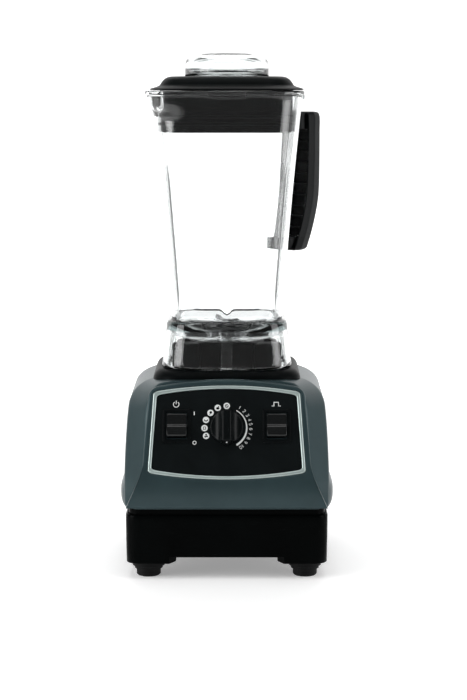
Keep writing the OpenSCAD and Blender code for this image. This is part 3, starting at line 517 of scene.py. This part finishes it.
def build_lower_base():
    """Black tray with corner legs: a wall ring whose lower edge steps down at the legs."""
    ring = base_ring()

    def skirt(x, y, z, inset):
        k = 1 - inset / BASE_HX
        return (x * k, y * k, z)

    def foot_z(x, y):
        between_front = abs(y) > BASE_HY - 0.1 and abs(x) < LEG_X
        between_side = abs(x) > BASE_HX - 0.1 and abs(y) < LEG_Y
        return FLOOR_Z if between_front or between_side else LEG_Z

    rings = [[(x * k, y * k, FLOOR_Z) for x, y in ring] for k in (0.50, 0.80, 0.865)]
    rings.append([skirt(x, y, FLOOR_Z, 12.2) for x, y in ring])
    for inset, up in ((12.0, 0.5), (11.6, 0.1), (11.0, 0.0), (1.6, 0.0), (0.9, 0.15)):
        rings.append([skirt(x, y, foot_z(x, y) + up, inset) for x, y in ring])
    rings.append([skirt(x, y, foot_z(x, y) + 0.7, 0.5) for x, y in ring])
    for z, inset in ((18.8, 0.35), (30, 0.15), (46.8, 0.0), (53.2, 0.0), (54.4, 0.2), (55.1, 0.75),
                     (55.3, 1.6),
                     (55.35, 2.7), (57.3, 2.8), (63.8, 2.9), (64.0, 6.0), (18.8, 6.2)):
        rings.append([skirt(x, y, z, inset) for x, y in ring])
    walls = loft(rings, False, False)
    # vented floor: a polar sheet with slots left out, reaching under the walls
    radii, slotted_ring = [8, 16, 40, 47], 1
    n = 120
    verts = [(r * math.cos(2 * math.pi * i / n), AXIS_Y + r * math.sin(2 * math.pi * i / n), FLOOR_Z + 0.02)
             for r in radii for i in range(n)]
    verts += [(x * 0.55, y * 0.55, FLOOR_Z + 0.02) for x, y in sample_ring(ring, n)]
    faces = []
    for j in range(len(radii)):
        for i in range(n):
            k = (i + 1) % n
            if j == slotted_ring and i % 6 in (2, 3):
                continue
            faces.append((j * n + i, j * n + k, (j + 1) * n + k, (j + 1) * n + i))
    faces.append(tuple(range(n)))
    boss = [(4.5, LEG_Z + 0.2), (16.6, LEG_Z + 0.2), (17.3, LEG_Z + 0.5), (17.5, LEG_Z + 1.2),
            (17.5, FLOOR_Z + 1)]
    bosses = [revolve(boss, 48, x * FOOT_X, y * FOOT_Y) for x in (-1, 1) for y in (-1, 1)]
    make("lower_shell", *join([walls, (verts, faces)] + bosses), "base", "base", "base_black",
         ("lower_base",), smooth=45)


def sample_ring(ring, n):
    """Points of a closed outline in n equal directions from the middle of the base."""
    out = []
    for i in range(n):
        a = 2 * math.pi * i / n
        out.append(min(ring, key=lambda p: abs(math.remainder(math.atan2(p[1], p[0]) - a, 2 * math.pi))))
    return out


def build_grips():
    """Pillow-shaped grip on each side."""
    parts = []
    for m in (1, -1):
        rings = []
        for i in range(25):
            u = -1 + 2 * i / 24
            y = 46 * math.copysign(abs(u) ** 0.85, u)
            swell = max(0.0, 1 - abs(u) ** 3) ** 0.6
            ring = []
            for j in range(17):
                v = -1 + 2 * j / 16
                z = 61.5 + 18.0 * v * (0.6 + 0.4 * swell)
                x = 97.2 + 8.9 * swell * max(0.0, 1 - abs(v) ** 2.6) ** 0.7
                ring.append((m * x, y, z))
            rings.append(ring)
        parts.append(loft(rings, False, False, closed=False))
    make("grips", *join(parts), "shell", "base", "shell_grey", ("side_grips",), smooth=60)


build_shell()
build_bezel()
build_trim()
build_lower_base()
build_grips()


# ------------------------------------------------------------------ centring pad
def box_points(x0, x1, y0, y1, z0, z1):
    v = [(x, y, z) for z in (z0, z1) for x, y in ((x0, y0), (x1, y0), (x1, y1), (x0, y1))]
    return v, [(3, 2, 1, 0), (4, 5, 6, 7), (0, 1, 5, 4), (1, 2, 6, 5), (2, 3, 7, 6), (3, 0, 4, 7)]


def inset_loop(points, d):
    """Closed outline moved inwards by d."""
    out, n = [], len(points)
    for i, (x, y) in enumerate(points):
        (ax, ay), (bx, by) = points[i - 1], points[(i + 1) % n]
        u, v = Vector((x - ax, y - ay)), Vector((bx - x, by - y))
        u, v = u.normalized(), v.normalized()
        n1, n2 = Vector((-u.y, u.x)), Vector((-v.y, v.x))
        m = (n1 + n2).normalized()
        k = d / max(0.5, m.dot(n1))
        out.append((x + m.x * k, y + m.y * k))
    return out


def quarter_turn(x, y, k):
    c, s = math.cos(math.pi / 2 * k), math.sin(math.pi / 2 * k)
    return x * c - y * s, x * s + y * c


def build_pad():
    """Rubber plate with a four-lobed tower that the jar's skirt drops over."""
    rows = ((70, 26, 173.6), (72.2, 28, 173.6), (72.5, 28, 174.4), (72.3, 28, 177.2), (71.9, 27.6, 179.4),
            (71.0, 27, 181.6), (69.6, 26.4, 183.6), (67.8, 25.6, 185.3), (65.8, 24.8, 186.6),
            (63.6, 24, 187.3),
            (60, 22, 187.35), (45, 22, 187.35))
    rings = [square_ring(hx, r, z, 14, 8) for hx, r, z in rows]
    rings.append(circle_like(rings[-1], 35.5, rows[-1][2]))
    plate = loft(rings, False, False)
    outline = []
    for k in range(4):
        quarter = [(38.5, y) for y in (-20, -12, -4, 4, 12, 20)] + [(38.5, 26), (46, 26.4), (54, 26.4),
                                                                    (54, 29)]
        lobe = [math.radians(d) for d in range(0, 91, 10)]
        quarter += [(32 + 22 * math.cos(a), 32 + 22 * math.sin(a)) for a in lobe]
        quarter += [(29, 54), (26.4, 54), (26.4, 46), (26, 38.5)]
        outline += [quarter_turn(x, y, k) for x, y in quarter]
    # the tower's bore has one point for each point of the outline, in the same order round the axis
    first = math.atan2(outline[0][1], outline[0][0]) % (2 * math.pi)
    turn = sorted(math.atan2(y, x) % (2 * math.pi) for x, y in outline)
    start = min(range(len(turn)), key=lambda i: abs(turn[i] - first))
    turn = turn[start:] + turn[:start]
    tower = []
    for z, d in ((187.0, 0.0), (190, 0.1), (206, 0.3), (209, 0.55), (210.4, 1.0), (211.3, 1.6),
                 (211.8, 2.5)):
        tower.append([(x, y + AXIS_Y, z) for x, y in inset_loop(outline, d)])
    for r, z in ((34.6, 211.8), (33.8, 211.4), (33.2, 210.4), (33.1, 181), (32.2, 180.1), (15.6, 180),
                 (15, 179.4), (15, 173.7)):
        tower.append([(r * math.cos(a), AXIS_Y + r * math.sin(a), z) for a in turn])
    make("pad", *join([plate, loft(tower, False, False)]), "pad", "base", "pad_rubber", ("centering_pad",),
         smooth=42)


# ------------------------------------------------------------------ jar
def smooth_step(t):
    t = max(0.0, min(1.0, t))
    return t * t * (3 - 2 * t)


def jar_hx(z):
    """Half width of the jar outside, between ledge and rim."""
    t = (z - LEDGE_Z) / (RIM_Z - LEDGE_Z)
    return JAR_LOW + (JAR_TOP - JAR_LOW) * (0.78 * t + 0.22 * t * t)


def spout_push(z):
    return SPOUT_PUSH * smooth_step((z - RIM_Z + 26) / 15)


def jar_ring(hx, r, z, push=0.0, rib=0.0):
    """Rounded square, its front left corner pushed out, with a rib at the middle of each side."""
    out = []
    for p in rectangle(hx, hx, r, 16, 24):
        x, y = p.x, p.y
        d, t = -(x + y) / math.sqrt(2), abs(x - y) / math.sqrt(2)
        m = push * smooth_step((24 - t) / 18) if d > 0 else 0.0
        if rib:
            g = rib * smooth_step(1 - min(abs(x), abs(y)) / 5.5)
            if abs(x) > abs(y):
                x -= math.copysign(g, x)
            else:
                y -= math.copysign(g, y)
        out.append((x - m / math.sqrt(2), y - m / math.sqrt(2) + AXIS_Y, z))
    return out


def circle_like(ring, radius, z):
    """Circle with a point in the direction of each point of ring."""
    out = []
    for x, y, _ in ring:
        a = math.atan2(y - AXIS_Y, x)
        out.append((radius * math.cos(a), AXIS_Y + radius * math.sin(a), z))
    return out


def build_jar():
    """One closed wall: under the bowl, down and up the skirt, up the jar, over the rim and back inside."""
    under = jar_ring(48, 32, BOWL_Z + 3)
    hole = circle_like(under, 20.1, BOWL_Z - 4)
    rings = [hole, circle_like(under, 24, BOWL_Z - 4), circle_like(under, 32, BOWL_Z - 2.6), under,
             jar_ring(53, 29, BOWL_Z + 6), jar_ring(55.4, 27.5, BOWL_Z + 9.5), jar_ring(56, 27, BOWL_Z + 7)]
    for z in (215, 205, 196):
        k = (BOWL_Z + 11 - z) / (BOWL_Z + 11 - SKIRT_Z)
        rings.append(jar_ring(56 + (SKIRT_HX - JAR_WALL - 56) * k, 27 + 2 * k, z))
    rings += [jar_ring(SKIRT_HX - JAR_WALL, 29, SKIRT_Z + 0.6),
              jar_ring(SKIRT_HX - JAR_WALL + 0.5, 29.2, SKIRT_Z + 0.05),
              jar_ring(SKIRT_HX - 1.2, 31.2, SKIRT_Z), jar_ring(SKIRT_HX - 0.2, 31.8, SKIRT_Z + 0.7),
              jar_ring(SKIRT_HX - 0.1, 32, SKIRT_Z + 3)]
    for z in (196, 206, 216, 226):
        k = (z - SKIRT_Z) / (LEDGE_Z - SKIRT_Z)
        rings.append(jar_ring(SKIRT_HX + (LEDGE_HX + 0.4 - SKIRT_HX) * k, 32 - 2 * k, z))
    rings += [jar_ring(LEDGE_HX + 0.3, 30, LEDGE_Z), jar_ring(LEDGE_HX - 0.2, 29.8, LEDGE_Z + 1.4),
              jar_ring(LEDGE_HX - 1.2, 29, LEDGE_Z + 2.4), jar_ring(jar_hx(235) + 0.7, 27.5, LEDGE_Z + 3.2)]
    zs = [235, 238, 245, 255, 270, 290, 310, 330, 350, 370, 390, 405, 420, 428, 431, 434, 437, 439, 441,
          443, 446, 449]
    rings += [jar_ring(jar_hx(z), JAR_CORNER * jar_hx(z), z, spout_push(z)) for z in zs]
    full = spout_push(RIM_Z)
    rings += [jar_ring(jar_hx(451.6), 33, 451.6, full), jar_ring(RIM_HX - 2.5, 35, 452.3, full),
              jar_ring(RIM_HX - 0.6, 36, 452.7, full), jar_ring(RIM_HX, 36, 453.6, full),
              jar_ring(RIM_HX, 36, 456, full),
              jar_ring(RIM_HX - 0.7, 36, 456.9, full), jar_ring(RIM_HX - 2, 35.5, RIM_Z, full),
              jar_ring(jar_hx(RIM_Z) - JAR_WALL + 0.8, 31.5, RIM_Z, full),
              jar_ring(jar_hx(RIM_Z) - JAR_WALL + 0.1, 31, RIM_Z - 0.8, full)]
    for z in reversed(zs):
        rib = RIB_HEIGHT * smooth_step((z - 238) / 12) * smooth_step((398 - z) / 22)
        hx = jar_hx(z) - JAR_WALL
        rings.append(jar_ring(hx, JAR_CORNER * jar_hx(z) - 2, z, spout_push(z), rib))
    rings += [jar_ring(51, 31, 230), jar_ring(46, 31, 224.5), jar_ring(39, 31, 219.5),
              jar_ring(33, 31, 216.2),
              circle_like(under, 28, 214.6), circle_like(under, 25, 214.05),
              circle_like(under, 20.1, BOWL_Z), hole]
    make("jar_wall", *loft(rings, False, False), "clear", "jar", "clear_plastic", ("jar_body",), smooth=60)
    extras = []
    for k in range(4):
        for verts, faces in (box_points(RIM_HX - 2.2, RIM_HX + 0.8, -18, 18, 448.8, 456.4), skirt_post()):
            turned = [(*quarter_turn(x, y, k), z) for x, y, z in verts]
            extras.append(([(x, y + AXIS_Y, z) for x, y, z in turned], faces))
    make("jar_lugs", *join(extras), "clear", "jar", "clear_plastic", smooth=30, bevel=0.8, segs=3)


def skirt_post():
    """Upright post on the inside of the skirt."""
    rows = []
    for z, x in ((189, 59.9), (200, 58.4), (212, 56.9), (219, 56.0)):
        rows.append([(x - 4.2, -5.3, z), (x, -5.3, z), (x, 5.3, z), (x - 4.2, 5.3, z)])
    return loft(rows)


# ------------------------------------------------------------------ handle
# z, distance from the axis, half thickness, half width
GRIP = [(294, 97.5, 10.5, 10.5), (297, 98.5, 11.5, 12), (312, 104, 11.5, 13), (330, 109.5, 11.5, 13.6),
        (350, 113.6, 11.5, 14), (380, 114.8, 11.2, 14.2), (415, 115.2, 10.8, 14.2), (432, 115, 11, 14),
        (436, 114.5, 9.5, 12.6)]


def at_handle(r, t, z):
    """Radial distance, sideways offset and height on the 45 degree line to the row frame."""
    c = math.sqrt(0.5)
    return (r * c - t * c, AXIS_Y + r * c + t * c, z)


def grip_ring(z, channel, inset=0.0):
    """Section of the grip at height z, its inner face sunk by channel."""
    rc, hr, ht = catmull(GRIP, z)
    hr, ht = hr - inset, ht - inset
    out = []
    for p in corner_ring([(hr, -ht + 3.2, 5.5), (hr, ht - 3.2, 5.5), (-hr * 0.2, ht, 5),
                          (-hr, ht - 0.8, 1.6),
                          (-hr, -ht + 0.8, 1.6), (-hr * 0.2, -ht, 5)], 6, 10):
        r, t = p.x, p.y
        if r < -hr + 0.6 and abs(t) < ht - 3.6:
            r += channel
        out.append(at_handle(rc + r, t, z))
    return out


def build_handle():
    """Grip with cross ribs in the channel on its inner face, and two arms that flare at both ends."""
    channel = 5.0
    sections = [(294, 0, 4.0), (294.3, 0, 1.6), (295.2, 0, 0.5), (297, 0), (310, 0), (310.3, channel)]
    for rib in range(318, 418, 11):
        sections += [(rib - 0.9, channel), (rib - 0.7, 0.8), (rib + 0.7, 0.8), (rib + 0.9, channel)]
    sections += [(418.0, channel), (418.3, 0), (426, 0), (431, 0), (433.8, 0),
                 (435.2, 0, 0.4), (435.8, 0, 1.4), (436, 0, 3.2)]
    rings = [grip_ring(*section) for section in sections]
    parts = [loft(rings)]
    for (z0, z1), r0, r1, hw in (((418.6, 434.4), 84.6, 108, 8.0), ((297.2, 308.0), 74.2, 92, 7.0)):
        rows = []
        for k in range(7):
            u = k / 6
            flare = 3.0 * (2 * u - 1) ** 4
            r = r0 + (r1 - r0) * u
            half, low = hw + flare, z0 - flare * 0.3
            rows.append([at_handle(r, t, z)
                         for t, z in ((-half, low), (half, low), (half, z1), (-half, z1))])
        parts.append(loft(rows))
    make("handle", *join(parts), "handle", "jar", "handle_black", ("handle_core", "handle_grip"), smooth=38,
         bevel=0.5, segs=2)


# ------------------------------------------------------------------ lid and cap
def build_lid():
    """Lid with its plug and the hole for the cap, as one closed turn of wall, and two seal rings."""
    z = RIM_Z
    rows = [(58.6, 25, z - 39.6), (61.4, 26.5, z - 40), (62.8, 27.4, z - 39.6), (63.9, 28, z - 38),
            (64, 28, z - 20),
            (64, 28, z - 2), (64.4, 28.4, z + 0.3), (66, 30, z + 0.42), (71.8, 34, z + 0.45),
            (73.6, 35, z + 0.6),
            (74.3, 35, z + 1.0), (74.4, 35, z + 1.5), (73.8, 34.8, z + 2.0), (71, 34, z + 2.9),
            (68.6, 33, z + 3.6),
            (66.6, 32, z + 4.3), (65.2, 31.5, z + 5.1), (64.4, 31, z + 6.1), (63.9, 31, z + 7.2),
            (63.0, 31, z + 8.5),
            (61.9, 30.6, z + 10), (60.4, 30, z + 11.4), (58.2, 29, z + 12.7), (56.4, 28.5, z + 13.3),
            (54.6, 28.2, LID_TOP - 0.1), (52, 28, LID_TOP), (47.4, 30, LID_TOP)]
    rings = [square_ring(hx, r, h) for hx, r, h in rows]
    base = rings[-1]
    for rad, h in ((46.2, LID_TOP), (45.6, LID_TOP - 0.9), (42.6, LID_TOP - 0.9), (42.0, LID_TOP - 0.05),
                   (32.6, LID_TOP - 0.05), (32.0, LID_TOP - 0.7), (32.0, z - 13.4), (32.6, z - 14),
                   (35.6, z - 14),
                   (36, z - 13.4), (36, z + 9)):
        rings.append(circle_like(base, rad, h))
    for hx, r, h in ((51, 24, z + 9.6), (57, 24, z + 6), (58.6, 25, z + 3)):
        rings.append(square_ring(hx, r, h))
    rings.append(rings[0])
    make("lid", *loft(rings, False, False), "lid", "lid", "lid_rubber", ("lid_body", "lid_collar"),
         smooth=50)
    bands = []
    for h in (z - 33, z - 26):
        sec = ((64.0, 0.0), (65.6, 0.1), (66.4, 0.7), (66.55, 1.3), (66.4, 1.9), (65.6, 2.5), (64.0, 2.6))
        bands.append(loft([square_ring(hx, 28 + (hx - 64) * 0.6, h + dz) for hx, dz in sec], False, False))
    make("seal_rings", *join(bands), "lid", "lid", "foot_rubber", ("lid_seals",), smooth=50)


def build_cap():
    """Turned cap: crown with a sunk ring on top, and a hollow spigot that goes down into the lid."""
    z, t = LID_TOP, CAP_TOP
    outer = [(0, t - 1.4), (19, t - 1.4), (21.5, t - 1.3), (22.4, t - 0.4), (23.2, t), (24.6, t),
             (25.5, t - 0.4), (26.2, t - 1.2),
             (30, t - 1.6), (34, t - 2.3), (36.4, t - 3.1), (38.4, t - 4.3), (39.8, t - 5.7),
             (40.8, t - 7.6), (41.3, t - 9.8),
             (41.5, t - 12), (41.5, z + 1.4), (41.2, z + 0.5), (40.4, z + 0.12), (32.4, z + 0.12),
             (31.7, z - 0.4),
             (31.6, z - 1.6), (31.6, z - 27), (31.2, z - 27.8), (30.4, z - 28), (29.6, z - 27.8),
             (29.2, z - 27), (29.2, z + 1.8),
             (29.8, z + 2.5), (38.2, z + 2.5), (39, z + 3.2), (39, t - 11.4), (38.6, t - 9.4),
             (37.6, t - 7.6), (35.6, t - 6),
             (33.6, t - 5.0), (30, t - 4.2), (24, t - 3.9), (0, t - 3.9)]
    make("cap", *revolve(outer, 128), "cap", "cap", "clear_plastic", ("lid_cap", "cap_tube", "cap_crown"),
         smooth=50)


build_pad()
build_jar()
build_handle()
build_lid()
build_cap()


# ------------------------------------------------------------------ controls
def panel_shape(shape, x0=0.0, s0=0.0):
    """Shape in the panel's own frame, moved to (x0, s0) and put on the panel."""
    return [on_panel(x + x0, s + s0, n) for x, s, n in shape[0]], shape[1]


def knob_height(d):
    """Height of the knob's face at sideways distance d: grip bar between two scoops."""
    bar = [(0.0, 14.4), (2.4, 14.34), (3.4, 14.15), (4.0, 13.75), (4.4, 13.0), (4.7, 11.9)]
    if d <= 4.7:
        for (a, p), (b, q) in zip(bar, bar[1:]):
            if d <= b:
                return p + (q - p) * (d - a) / (b - a)
    return 14.6 - math.sqrt(max(0.0, 90.25 - (14.0 - d) ** 2)) if d < 14.0 else 5.1


def build_knob():
    """Round knob with a grip bar between two scoops, and a pointed tab at the lower end of the bar."""
    r, lip, rounding = KNOB_R, 0.9, 2.4
    steps = [0, 1.2, 2.4, 3.1, 3.7, 4.1, 4.4, 4.6, 4.8, 5.1, 5.6, 6.3, 7.2, 8.4, 9.8, 11.2, 12.6, 13.8,
             14.8]
    rings = []
    for k in range(61):
        a = -math.pi / 2 + math.pi * k / 60
        s = r * math.sin(a)
        w = max(0.12, r * math.cos(a))
        end = max(0.0, rounding - (r - abs(s)))
        drop = rounding - math.sqrt(max(0.0, rounding * rounding - end * end))
        flat = max(0.0, w - lip)
        half = [(min(d, flat), max(4.4, knob_height(min(d, flat)) - drop)) for d in steps]
        edge = max(4.0, knob_height(flat) - drop)
        half += [(w - lip * 0.45 if w > lip else w * 0.6, edge - 0.28),
                 (w - 0.06 if w > lip else w, edge - 0.95),
                 (w, edge - 1.6), (w + 0.12, 0.7), (w, 0.4)]
        rings.append([(x, s, n) for x, n in reversed(half)] + [(-x, s, n) for x, n in half[1:]])
    tab = ((-7.4, -11), (-7.4, -13), (-4.4, -15.2), (-1.5, -17.3), (0, -17.7), (1.5, -17.3), (4.4, -15.2),
           (7.4, -13), (7.4, -11))
    tip = [[(x * f, -12.0 + (s + 12.0) * (0.4 + 0.6 * f) if f < 1 else s, n) for x, s in tab]
           for n, f in ((0.5, 1.0), (8.4, 1.0), (9.1, 0.94), (9.38, 0.82))]
    parts = [panel_shape(loft(rings), 0, KNOB_S), panel_shape(loft(tip), 0, KNOB_S)]
    make("knob", *join(parts), "control", "knob", "control_black", ("speed_knob",), smooth=34)


def build_rocker(name, body, node, x0):
    """Paddle from its side outline, narrowed a little towards its two ends, with its pivot pin."""
    side = [(12.0, -1.4), (12.05, 0.3), (11.8, 1.35), (11.1, 1.95), (10.2, 2.15), (8.4, 1.85), (5.4, 1.2),
            (2.7, 0.62),
            (1.7, 0.66), (1.0, 0.95), (0.45, 1.55), (0.05, 2.3), (-0.5, 2.85), (-1.5, 3.2), (-5.0, 4.2),
            (-8.1, 5.05),
            (-9.2, 5.2), (-10.0, 4.75), (-10.8, 3.8), (-11.2, 2.6), (-11.8, -1.4), (-7.4, -7.4),
            (7.4, -7.4)]
    ends = ((9.3, 0.93), (9.15, 0.968), (8.8, 0.99), (8.2, 1.0))
    rows = [[(x, s * f + (1 - f) * -0.5, n * f + (1 - f) * 0.5) for s, n in side]
            for x, f in [(-x, f) for x, f in ends] + list(reversed(ends))]
    pin_r, turns = 1.45, [math.radians(20 * k) for k in range(18)]
    pin = [[(x, pin_r * math.cos(a), -3 + pin_r * math.sin(a)) for a in turns] for x in (-10.7, 10.7)]
    parts = [panel_shape(loft(rows), x0, SWITCH_S), panel_shape(loft(pin), x0, SWITCH_S)]
    make(name, *join(parts), "paddle", body, "control_black", (node,), smooth=38)


def build_switch_frames():
    rows = ((13.45, 16.45, 1.6, -0.6), (13.45, 16.45, 1.6, 0.1), (13.25, 16.25, 1.5, 0.38),
            (12.8, 15.8, 1.3, 0.5),
            (10.8, 14.0, 0.9, 0.5), (10.1, 13.25, 0.7, 0.36), (9.8, 13.08, 0.6, 0.0),
            (9.78, 13.06, 0.6, -9.0))
    rings = [[(p.x, p.y, n) for p in rectangle(hx, hs, r, 5, 3)] for hx, hs, r, n in rows]
    parts = [panel_shape(loft(rings, False, False), x0, SWITCH_S) for x0 in (-SWITCH_X, SWITCH_X)]
    make("switch_frames", *join(parts), "control", "base", "control_black", smooth=40)


# ------------------------------------------------------------------ printed marks
INK0, INK1 = -0.6, -0.5           # underside and face of the print, out from the panel plane
SCALE_R, NUMBER_R, DISC_R = 19.2, 23.3, 21.3
DIGIT_WIDTH, DIGIT_GAP = 0.6, 0.22


def stroke(points, width, closed=False, top=INK1):
    """Thin raised line along (x, s) points; width is one number or one per point."""
    n = len(points)
    w = [width] * n if not hasattr(width, "__len__") else width
    left, right = [], []
    for i, (x, y) in enumerate(points):
        a = points[i - 1] if (i or closed) else points[i]
        b = points[(i + 1) % n] if (i < n - 1 or closed) else points[i]
        d = Vector((b[0] - a[0], b[1] - a[1])).normalized()
        k = w[i] / 2
        if 0 < i < n - 1 or closed:
            u = Vector((x - a[0], y - a[1])).normalized()
            k /= max(0.6, u.dot(d))
        left.append((x - d.y * k, y + d.x * k))
        right.append((x + d.y * k, y - d.x * k))
    rows = [[(*l, INK0), (*l, top), (*r, top), (*r, INK0)] for l, r in zip(left, right)]
    if closed:
        rows.append(rows[0])
        return loft(rows, False, False)
    return loft(rows)


def disc(x, s, r, top=INK1, squash=1.0):
    turns = [2 * math.pi * k / 36 for k in range(36)]
    return loft([[(x + r * math.cos(a), s + r * squash * math.sin(a), h) for a in turns]
                 for h in (INK0, top)])


def circle_points(x, s, r, a0, a1, n):
    turns = [math.radians(a0 + (a1 - a0) * k / n) for k in range(n + 1)]
    return [(x + r * math.cos(a), s + r * math.sin(a)) for a in turns]


# strokes of each digit, DIGIT_WIDTH wide and 1 high
DIGITS = {
    "0": [[(0, .25), (0, .75), (.15, 1), (.45, 1), (.6, .75), (.6, .25), (.45, 0), (.15, 0), (0, .25)]],
    "1": [[(.1, .8), (.32, 1), (.32, 0)]],
    "2": [[(0, .78), (.12, 1), (.48, 1), (.6, .75), (.5, .52), (0, 0), (.6, 0)]],
    "3": [[(0, 1), (.58, 1), (.28, .58), (.52, .5), (.6, .25), (.45, 0), (.12, 0), (0, .2)]],
    "4": [[(.45, 0), (.45, 1), (0, .3), (.6, .3)]],
    "5": [[(.55, 1), (.08, 1), (.02, .56), (.4, .62), (.6, .42), (.6, .2), (.42, 0), (.12, 0), (0, .16)]],
    "6": [[(.5, 1), (.15, .8), (0, .4), (.05, .1), (.25, 0), (.5, .05), (.6, .28), (.48, .52), (.2, .54),
           (.02, .34)]],
    "7": [[(0, 1), (.6, 1), (.22, 0)]],
    "8": [[(.3, .54), (.06, .68), (.06, .9), (.3, 1), (.54, .9), (.54, .68), (.3, .54), (.58, .38),
           (.58, .12), (.3, 0),
           (.02, .12), (.02, .38), (.3, .54)]],
    "9": [[(.1, 0), (.45, .2), (.6, .6), (.55, .9), (.35, 1), (.1, .95), (0, .72), (.12, .48), (.4, .46),
           (.58, .66)]],
}


def number(word, x, s, size, turn):
    parts, step = [], DIGIT_WIDTH + DIGIT_GAP
    width = step * len(word) - DIGIT_GAP
    c, d = math.cos(turn), math.sin(turn)
    for i, ch in enumerate(word):
        for line in DIGITS[ch]:
            pts = []
            for a, b in line:
                u, v = (a + i * step - width / 2) * size, (b - 0.5) * size
                pts.append((x + u * c - v * d, s + u * d + v * c))
            parts.append(stroke(pts, 0.13 * size))
    return parts


def build_marks():
    ink, dark = [], []
    # dial: scale that widens from 1 to 10, and its numbers
    scale = circle_points(0, KNOB_S, SCALE_R, 61, -61, 60)
    ink.append(stroke(scale, [0.8 + 1.2 * k / 60 for k in range(61)]))
    for i, a in enumerate((57.5, 43.8, 31.3, 19.1, 8.4, -3.3, -15.0, -26.6, -37.9, -52.4)):
        t = math.radians(a)
        x, s = NUMBER_R * math.cos(t), KNOB_S + NUMBER_R * math.sin(t)
        ink += number(str(i + 1), x, s, 2.9, t - math.pi / 2)
    # food settings: white discs, each with a small generic picture
    for i, a in enumerate((90, 114, 137, 159, 181, 202)):
        t = math.radians(a)
        x, s = DISC_R * math.cos(t), KNOB_S + DISC_R * math.sin(t)
        ink.append(disc(x, s, 3.1))
        h = INK1 + 0.06
        if i == 0:
            dark.append(stroke(circle_points(x, s, 1.5, 0, 360, 18)[:-1], 0.55, True, h))
            dark.append(stroke([(x - 1.2, s + 1.2), (x + 1.2, s - 1.2)], 0.5, False, h))
        elif i == 1:
            dark += [disc(x, s - 0.5, 1.55, h, 0.75), disc(x + 0.9, s + 1.2, 0.55, h)]
        elif i == 2:
            dark += [disc(x + 0.3, s + 0.5, 1.25, h),
                     stroke([(x - 0.2, s - 0.3), (x - 0.9, s - 2.0)], 0.6, False, h)]
        elif i == 3:
            dark.append(stroke(circle_points(x, s + 0.6, 1.7, 190, 350, 14), 0.9, False, h))
        elif i == 4:
            square = [(x - 1, s - 1.3), (x - 1, s + 1.2), (x + 1, s + 1.2), (x + 1, s - 1.3)]
            dark.append(stroke(square, 0.5, True, h))
        else:
            dark += [disc(x - 0.8, s - 0.8, 0.85, h), disc(x + 0.9, s - 0.5, 0.85, h),
                     disc(x, s + 1.1, 0.85, h)]
    line = 0.6
    ink.append(stroke(circle_points(-48.6, 25.7, 2.7, 125, 415, 30), line))       # power symbol
    ink.append(stroke([(-48.6, 25.9), (-48.6, 29.3)], line))
    ink.append(stroke([(-31.2, 15.1), (-31.2, 18.6)], 0.8))                       # on and off
    ink.append(stroke(circle_points(-30.8, -11.7, 1.6, 0, 360, 24)[:-1], line, True))
    wave = [(43.2, 24.2), (45.4, 24.2), (45.4, 27.8), (49.8, 27.8), (49.8, 24.2), (52.0, 24.2)]
    ink.append(stroke(wave, line))                                                # pulse
    make("marks", *join([panel_shape(p) for p in ink]), "marking", "base", "marking_white", smooth=30)
    make("pictures", *join([panel_shape(p) for p in dark]), "panel", "base", "panel_black", smooth=30)


build_knob()
build_rocker("power_paddle", "power_switch", "power_rocker", -SWITCH_X)
build_rocker("pulse_paddle", "pulse_switch", "pulse_rocker", SWITCH_X)
build_switch_frames()
build_marks()


# ------------------------------------------------------------------ stage and light (metres)
def stage_sheet(name, path, half_width, glow):
    """White sheet along (y, z) points, with a little light of its own, as a light table has."""
    verts, faces = [], []
    for y, z in path:
        verts += [(-half_width, y, z), (half_width, y, z)]
    for i in range(len(path) - 1):
        faces.append((2 * i, 2 * i + 1, 2 * i + 3, 2 * i + 2))
    me = bpy.data.meshes.new(name)
    me.from_pydata(verts, [], faces)
    for f in me.polygons:
        f.use_smooth = True
    m, _, p = new_material(name)
    p.inputs["Base Color"].default_value = (0.9, 0.9, 0.9, 1)
    p.inputs["Roughness"].default_value = 0.55
    p.inputs["Specular IOR Level"].default_value = 0.3
    p.inputs["Emission Color"].default_value = (1, 1, 1, 1)
    p.inputs["Emission Strength"].default_value = glow
    me.materials.append(m)
    ob = bpy.data.objects.new(name, me)
    scene.collection.objects.link(ob)


def build_stage():
    """Pale floor, and a sweep that curves up far enough behind to leave room for a view from the back."""
    front, join_y, bend_y, bend_r, top = -1.0, 1.0, 4.2, 1.2, 5.0
    stage_sheet("stage", [(front, 0.0), (join_y, 0.0)], 4.0, 0.28)
    bend = [math.radians(d) for d in range(6, 91, 6)]
    sweep = [(join_y, 0.0), (bend_y, 0.0)]
    sweep += [(bend_y + bend_r * math.sin(a), bend_r - bend_r * math.cos(a)) for a in bend]
    stage_sheet("sweep", sweep + [(bend_y + bend_r, top)], 11.0, 0.95)


def area_light(name, where, aim, size, power, size_y=None):
    li = bpy.data.lights.new(name, "AREA")
    li.shape = "RECTANGLE"
    li.size, li.size_y = size, size_y or size
    li.energy = power
    ob = bpy.data.objects.new(name, li)
    ob.location = where
    ob.rotation_euler = (Vector(aim) - Vector(where)).to_track_quat("-Z", "Y").to_euler()
    scene.collection.objects.link(ob)


def build_light():
    world = bpy.data.worlds.new("world")
    world.use_nodes = True
    bg = world.node_tree.nodes["Background"]
    bg.inputs[0].default_value = (1, 1, 1, 1)
    bg.inputs[1].default_value = 0.20
    scene.world = world
    area_light("left_softbox", (-1.5, -0.7, 0.7), (0, 0, 0.25), 0.9, 22, 1.4)
    area_light("right_softbox", (1.5, -0.5, 0.7), (0, 0, 0.25), 0.8, 14, 1.4)
    area_light("top_softbox", (0, 0.0, 2.0), (0, 0.1, 0.2), 1.4, 13)
    area_light("back_softbox", (0, 1.6, 2.2), (0, 0.2, 0.2), 1.4, 10, 0.8)


build_stage()
build_light()
scene.view_settings.view_transform = "Standard"
